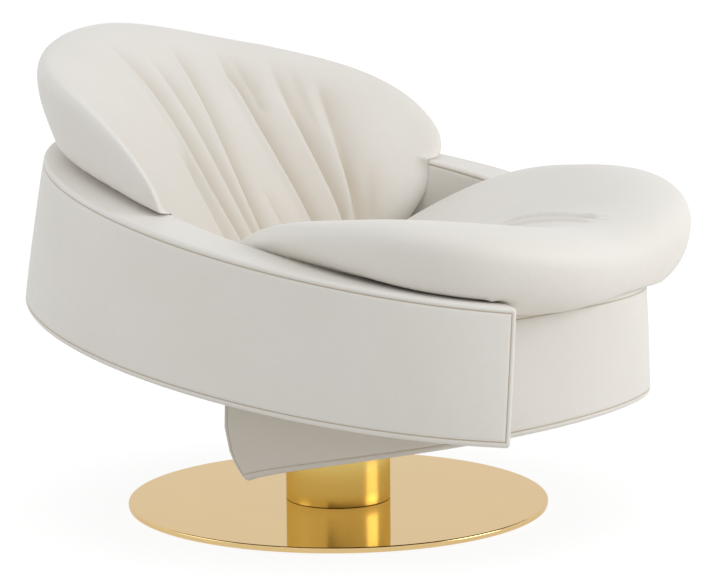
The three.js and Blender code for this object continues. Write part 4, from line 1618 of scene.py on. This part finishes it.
@dataclass
class Studio:
    """White studio: camera, soft lamps, floor and world."""

    target: Vector = field(default_factory=lambda: Vector((0, 0, 0.33)))
    distance: float = 4.2
    azimuth: float = math.radians(-58.5)
    elevation: float = math.radians(8.97)
    roll: float = math.radians(-0.49)
    lens: float = 149.97
    sensor: float = 36.0
    shift: tuple[float, float] = (0.0274, -0.0204)
    world_light: float = 0.60
    world_colour: tuple[float, ...] = (0.965, 0.98, 1.0, 1.0)
    paper: tuple[float, ...] = (0.80, 0.78, 0.75, 1.0)
    floor_glow: float = 0.82
    glow_strength: float = 1.1
    glow_spread: tuple[float, float] = (0.36, 1.1)
    floor_size: float = 14.0
    lamps: tuple[Lamp, ...] = (
        Lamp("right_lamp", (1.2, -2.9, 1.6), 1.8, 38, (1.0, 0.99, 0.985)),
        Lamp("left_lamp", (-1.7, 2.3, 2.0), 1.6, 10, (0.97, 0.985, 1.0)),
        Lamp("top_lamp", (-1.3, -0.5, 3.0), 2.2, 13, (1.0, 1.0, 1.0)))

    def set_camera(self) -> None:
        """Places the camera at the photograph's viewing angle."""
        a, e, r = self.azimuth, self.elevation, self.roll
        back = Vector((math.sin(a) * math.cos(e), -math.cos(a) * math.cos(e), math.sin(e)))
        right = Vector((math.cos(a), math.sin(a), 0))
        up = back.cross(right)
        across = right * math.cos(r) + up * math.sin(r)
        above = up * math.cos(r) - right * math.sin(r)
        data = bpy.data.cameras.new("studio_camera")
        data.sensor_fit = "HORIZONTAL"
        data.sensor_width, data.lens = self.sensor, self.lens
        data.shift_x, data.shift_y = self.shift
        camera = bpy.data.objects.new("studio_camera", data)
        turn = Matrix((across, above, back)).transposed().to_4x4()
        camera.matrix_world = Matrix.Translation(self.target + back * self.distance) @ turn
        bpy.context.scene.collection.objects.link(camera)
        bpy.context.scene.camera = camera

    def light(self) -> None:
        """Sets the world and the lamps; camera, glossy and transmission rays see white."""
        world = bpy.data.worlds.new("studio_world")
        bpy.context.scene.world = world
        world.use_nodes = True
        world.node_tree.nodes.clear()
        nodes = Nodes(world.node_tree)
        seen = nodes.seen()
        light = nodes.add(
            "ShaderNodeBackground", {"Color": self.world_colour, "Strength": self.world_light})
        white = nodes.add("ShaderNodeBackground", {"Color": WHITE})
        both = nodes.add(
            "ShaderNodeMixShader", {"Fac": seen, 1: light.outputs[0], 2: white.outputs[0]})
        nodes.add("ShaderNodeOutputWorld", {"Surface": both.outputs[0]})
        for lamp in self.lamps:
            lamp.hang(self.target)

    def lay_floor(self) -> None:
        """Lays a white floor that keeps the chair's soft shadow."""
        half = self.floor_size / 2
        mesh = bpy.data.meshes.new("studio_floor")
        corners = [(-half, -half, 0), (half, -half, 0), (half, half, 0), (-half, half, 0)]
        mesh.from_pydata(corners, [], [[0, 1, 2, 3]])
        mesh.materials.append(self.make_paper())
        floor = bpy.data.objects.new("studio_floor", mesh)
        bpy.context.scene.collection.objects.link(floor)

    def make_paper(self) -> bpy.types.Material:
        """Builds the floor's paper, which glows for the rays that see it, more so farther out.

        Returns:
            The material.
        """
        material = bpy.data.materials.new("studio_paper")
        material.use_nodes = True
        material.node_tree.nodes.clear()
        nodes = Nodes(material.node_tree)
        seen = nodes.seen()
        paper = nodes.add("ShaderNodeBsdfDiffuse", {"Color": self.paper})
        glow = nodes.add("ShaderNodeEmission", {"Strength": self.glow_strength})
        places = nodes.add("ShaderNodeTexCoord", {}).outputs["Object"]
        reach = nodes.add("ShaderNodeVectorMath", {0: places}, operation="LENGTH")
        near, far = self.glow_spread
        spread = nodes.add("ShaderNodeMapRange", {
            "From Min": near, "From Max": far, "To Min": self.floor_glow,
            "Value": reach.outputs["Value"]})
        share = nodes.add(
            "ShaderNodeMath", {0: seen, 1: spread.outputs["Result"]}, operation="MULTIPLY")
        both = nodes.add("ShaderNodeMixShader", {
            "Fac": share.outputs[0], 1: paper.outputs[0], 2: glow.outputs[0]})
        nodes.add("ShaderNodeOutputMaterial", {"Surface": both.outputs[0]})
        return material


def make_finishes() -> dict[str, bpy.types.Material]:
    """Makes every finish of the chair.

    Returns:
        The materials by name.
    """
    makers = {
        "ivory_leather": IvoryLeather(),
        "polished_gold": GoldPlate(
            (0.74, 0.53, 0.25, 1.0), roughness=0.03, smear=0.04, edge_tint=(0.89, 0.84, 0.76, 1.0)),
        "satin_gold": GoldPlate(
            (0.72, 0.54, 0.17, 1.0), roughness=0.22, smear=0.08, edge_tint=(0.9, 0.78, 0.5, 1.0)),
        "zinc_steel": ZincSteel(),
        "black_powder_coat": PowderCoat(),
        "birch_plywood": Plywood(),
        "natural_acetal": Acetal(),
        "webbing": Woven(as_linear(120, 112, 98), as_linear(70, 64, 54), yarn=0.0022),
        "dust_cloth": Woven(as_linear(52, 52, 54), as_linear(34, 34, 36), yarn=0.0008),
        "felt": Woven(as_linear(44, 44, 46), as_linear(26, 26, 28), yarn=0.0012, woven=False),
    }
    return {name: maker.make(name) for name, maker in makers.items()}


def main() -> None:
    """Builds the chair round its frame and lights it."""
    logging.basicConfig(level=logging.INFO, format="%(name)s: %(message)s")
    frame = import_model()
    bpy.context.scene.view_settings.view_transform = "Standard"
    studio = Studio()
    studio.set_camera()
    studio.light()
    studio.lay_floor()
    finishes = make_finishes()
    leather = finishes["ivory_leather"]
    pedestal = Pedestal(finishes["polished_gold"], finishes["satin_gold"])
    walls = TubWalls(leather, finishes["birch_plywood"])
    cushions = Cushions(leather, walls)
    steps = (pedestal.make_plate, pedestal.make_tube, walls.make_band, walls.make_band_core,
             walls.make_apron, cushions.make_back, cushions.make_seat)
    for step in steps:
        piece = step()
        log.info("%s: %d faces", piece.name, len(piece.data.polygons))
    log.info("%d CAD nodes dressed", HiddenFrame(frame["nodes"], finishes).dress())


if __name__ == "__main__":
    main()
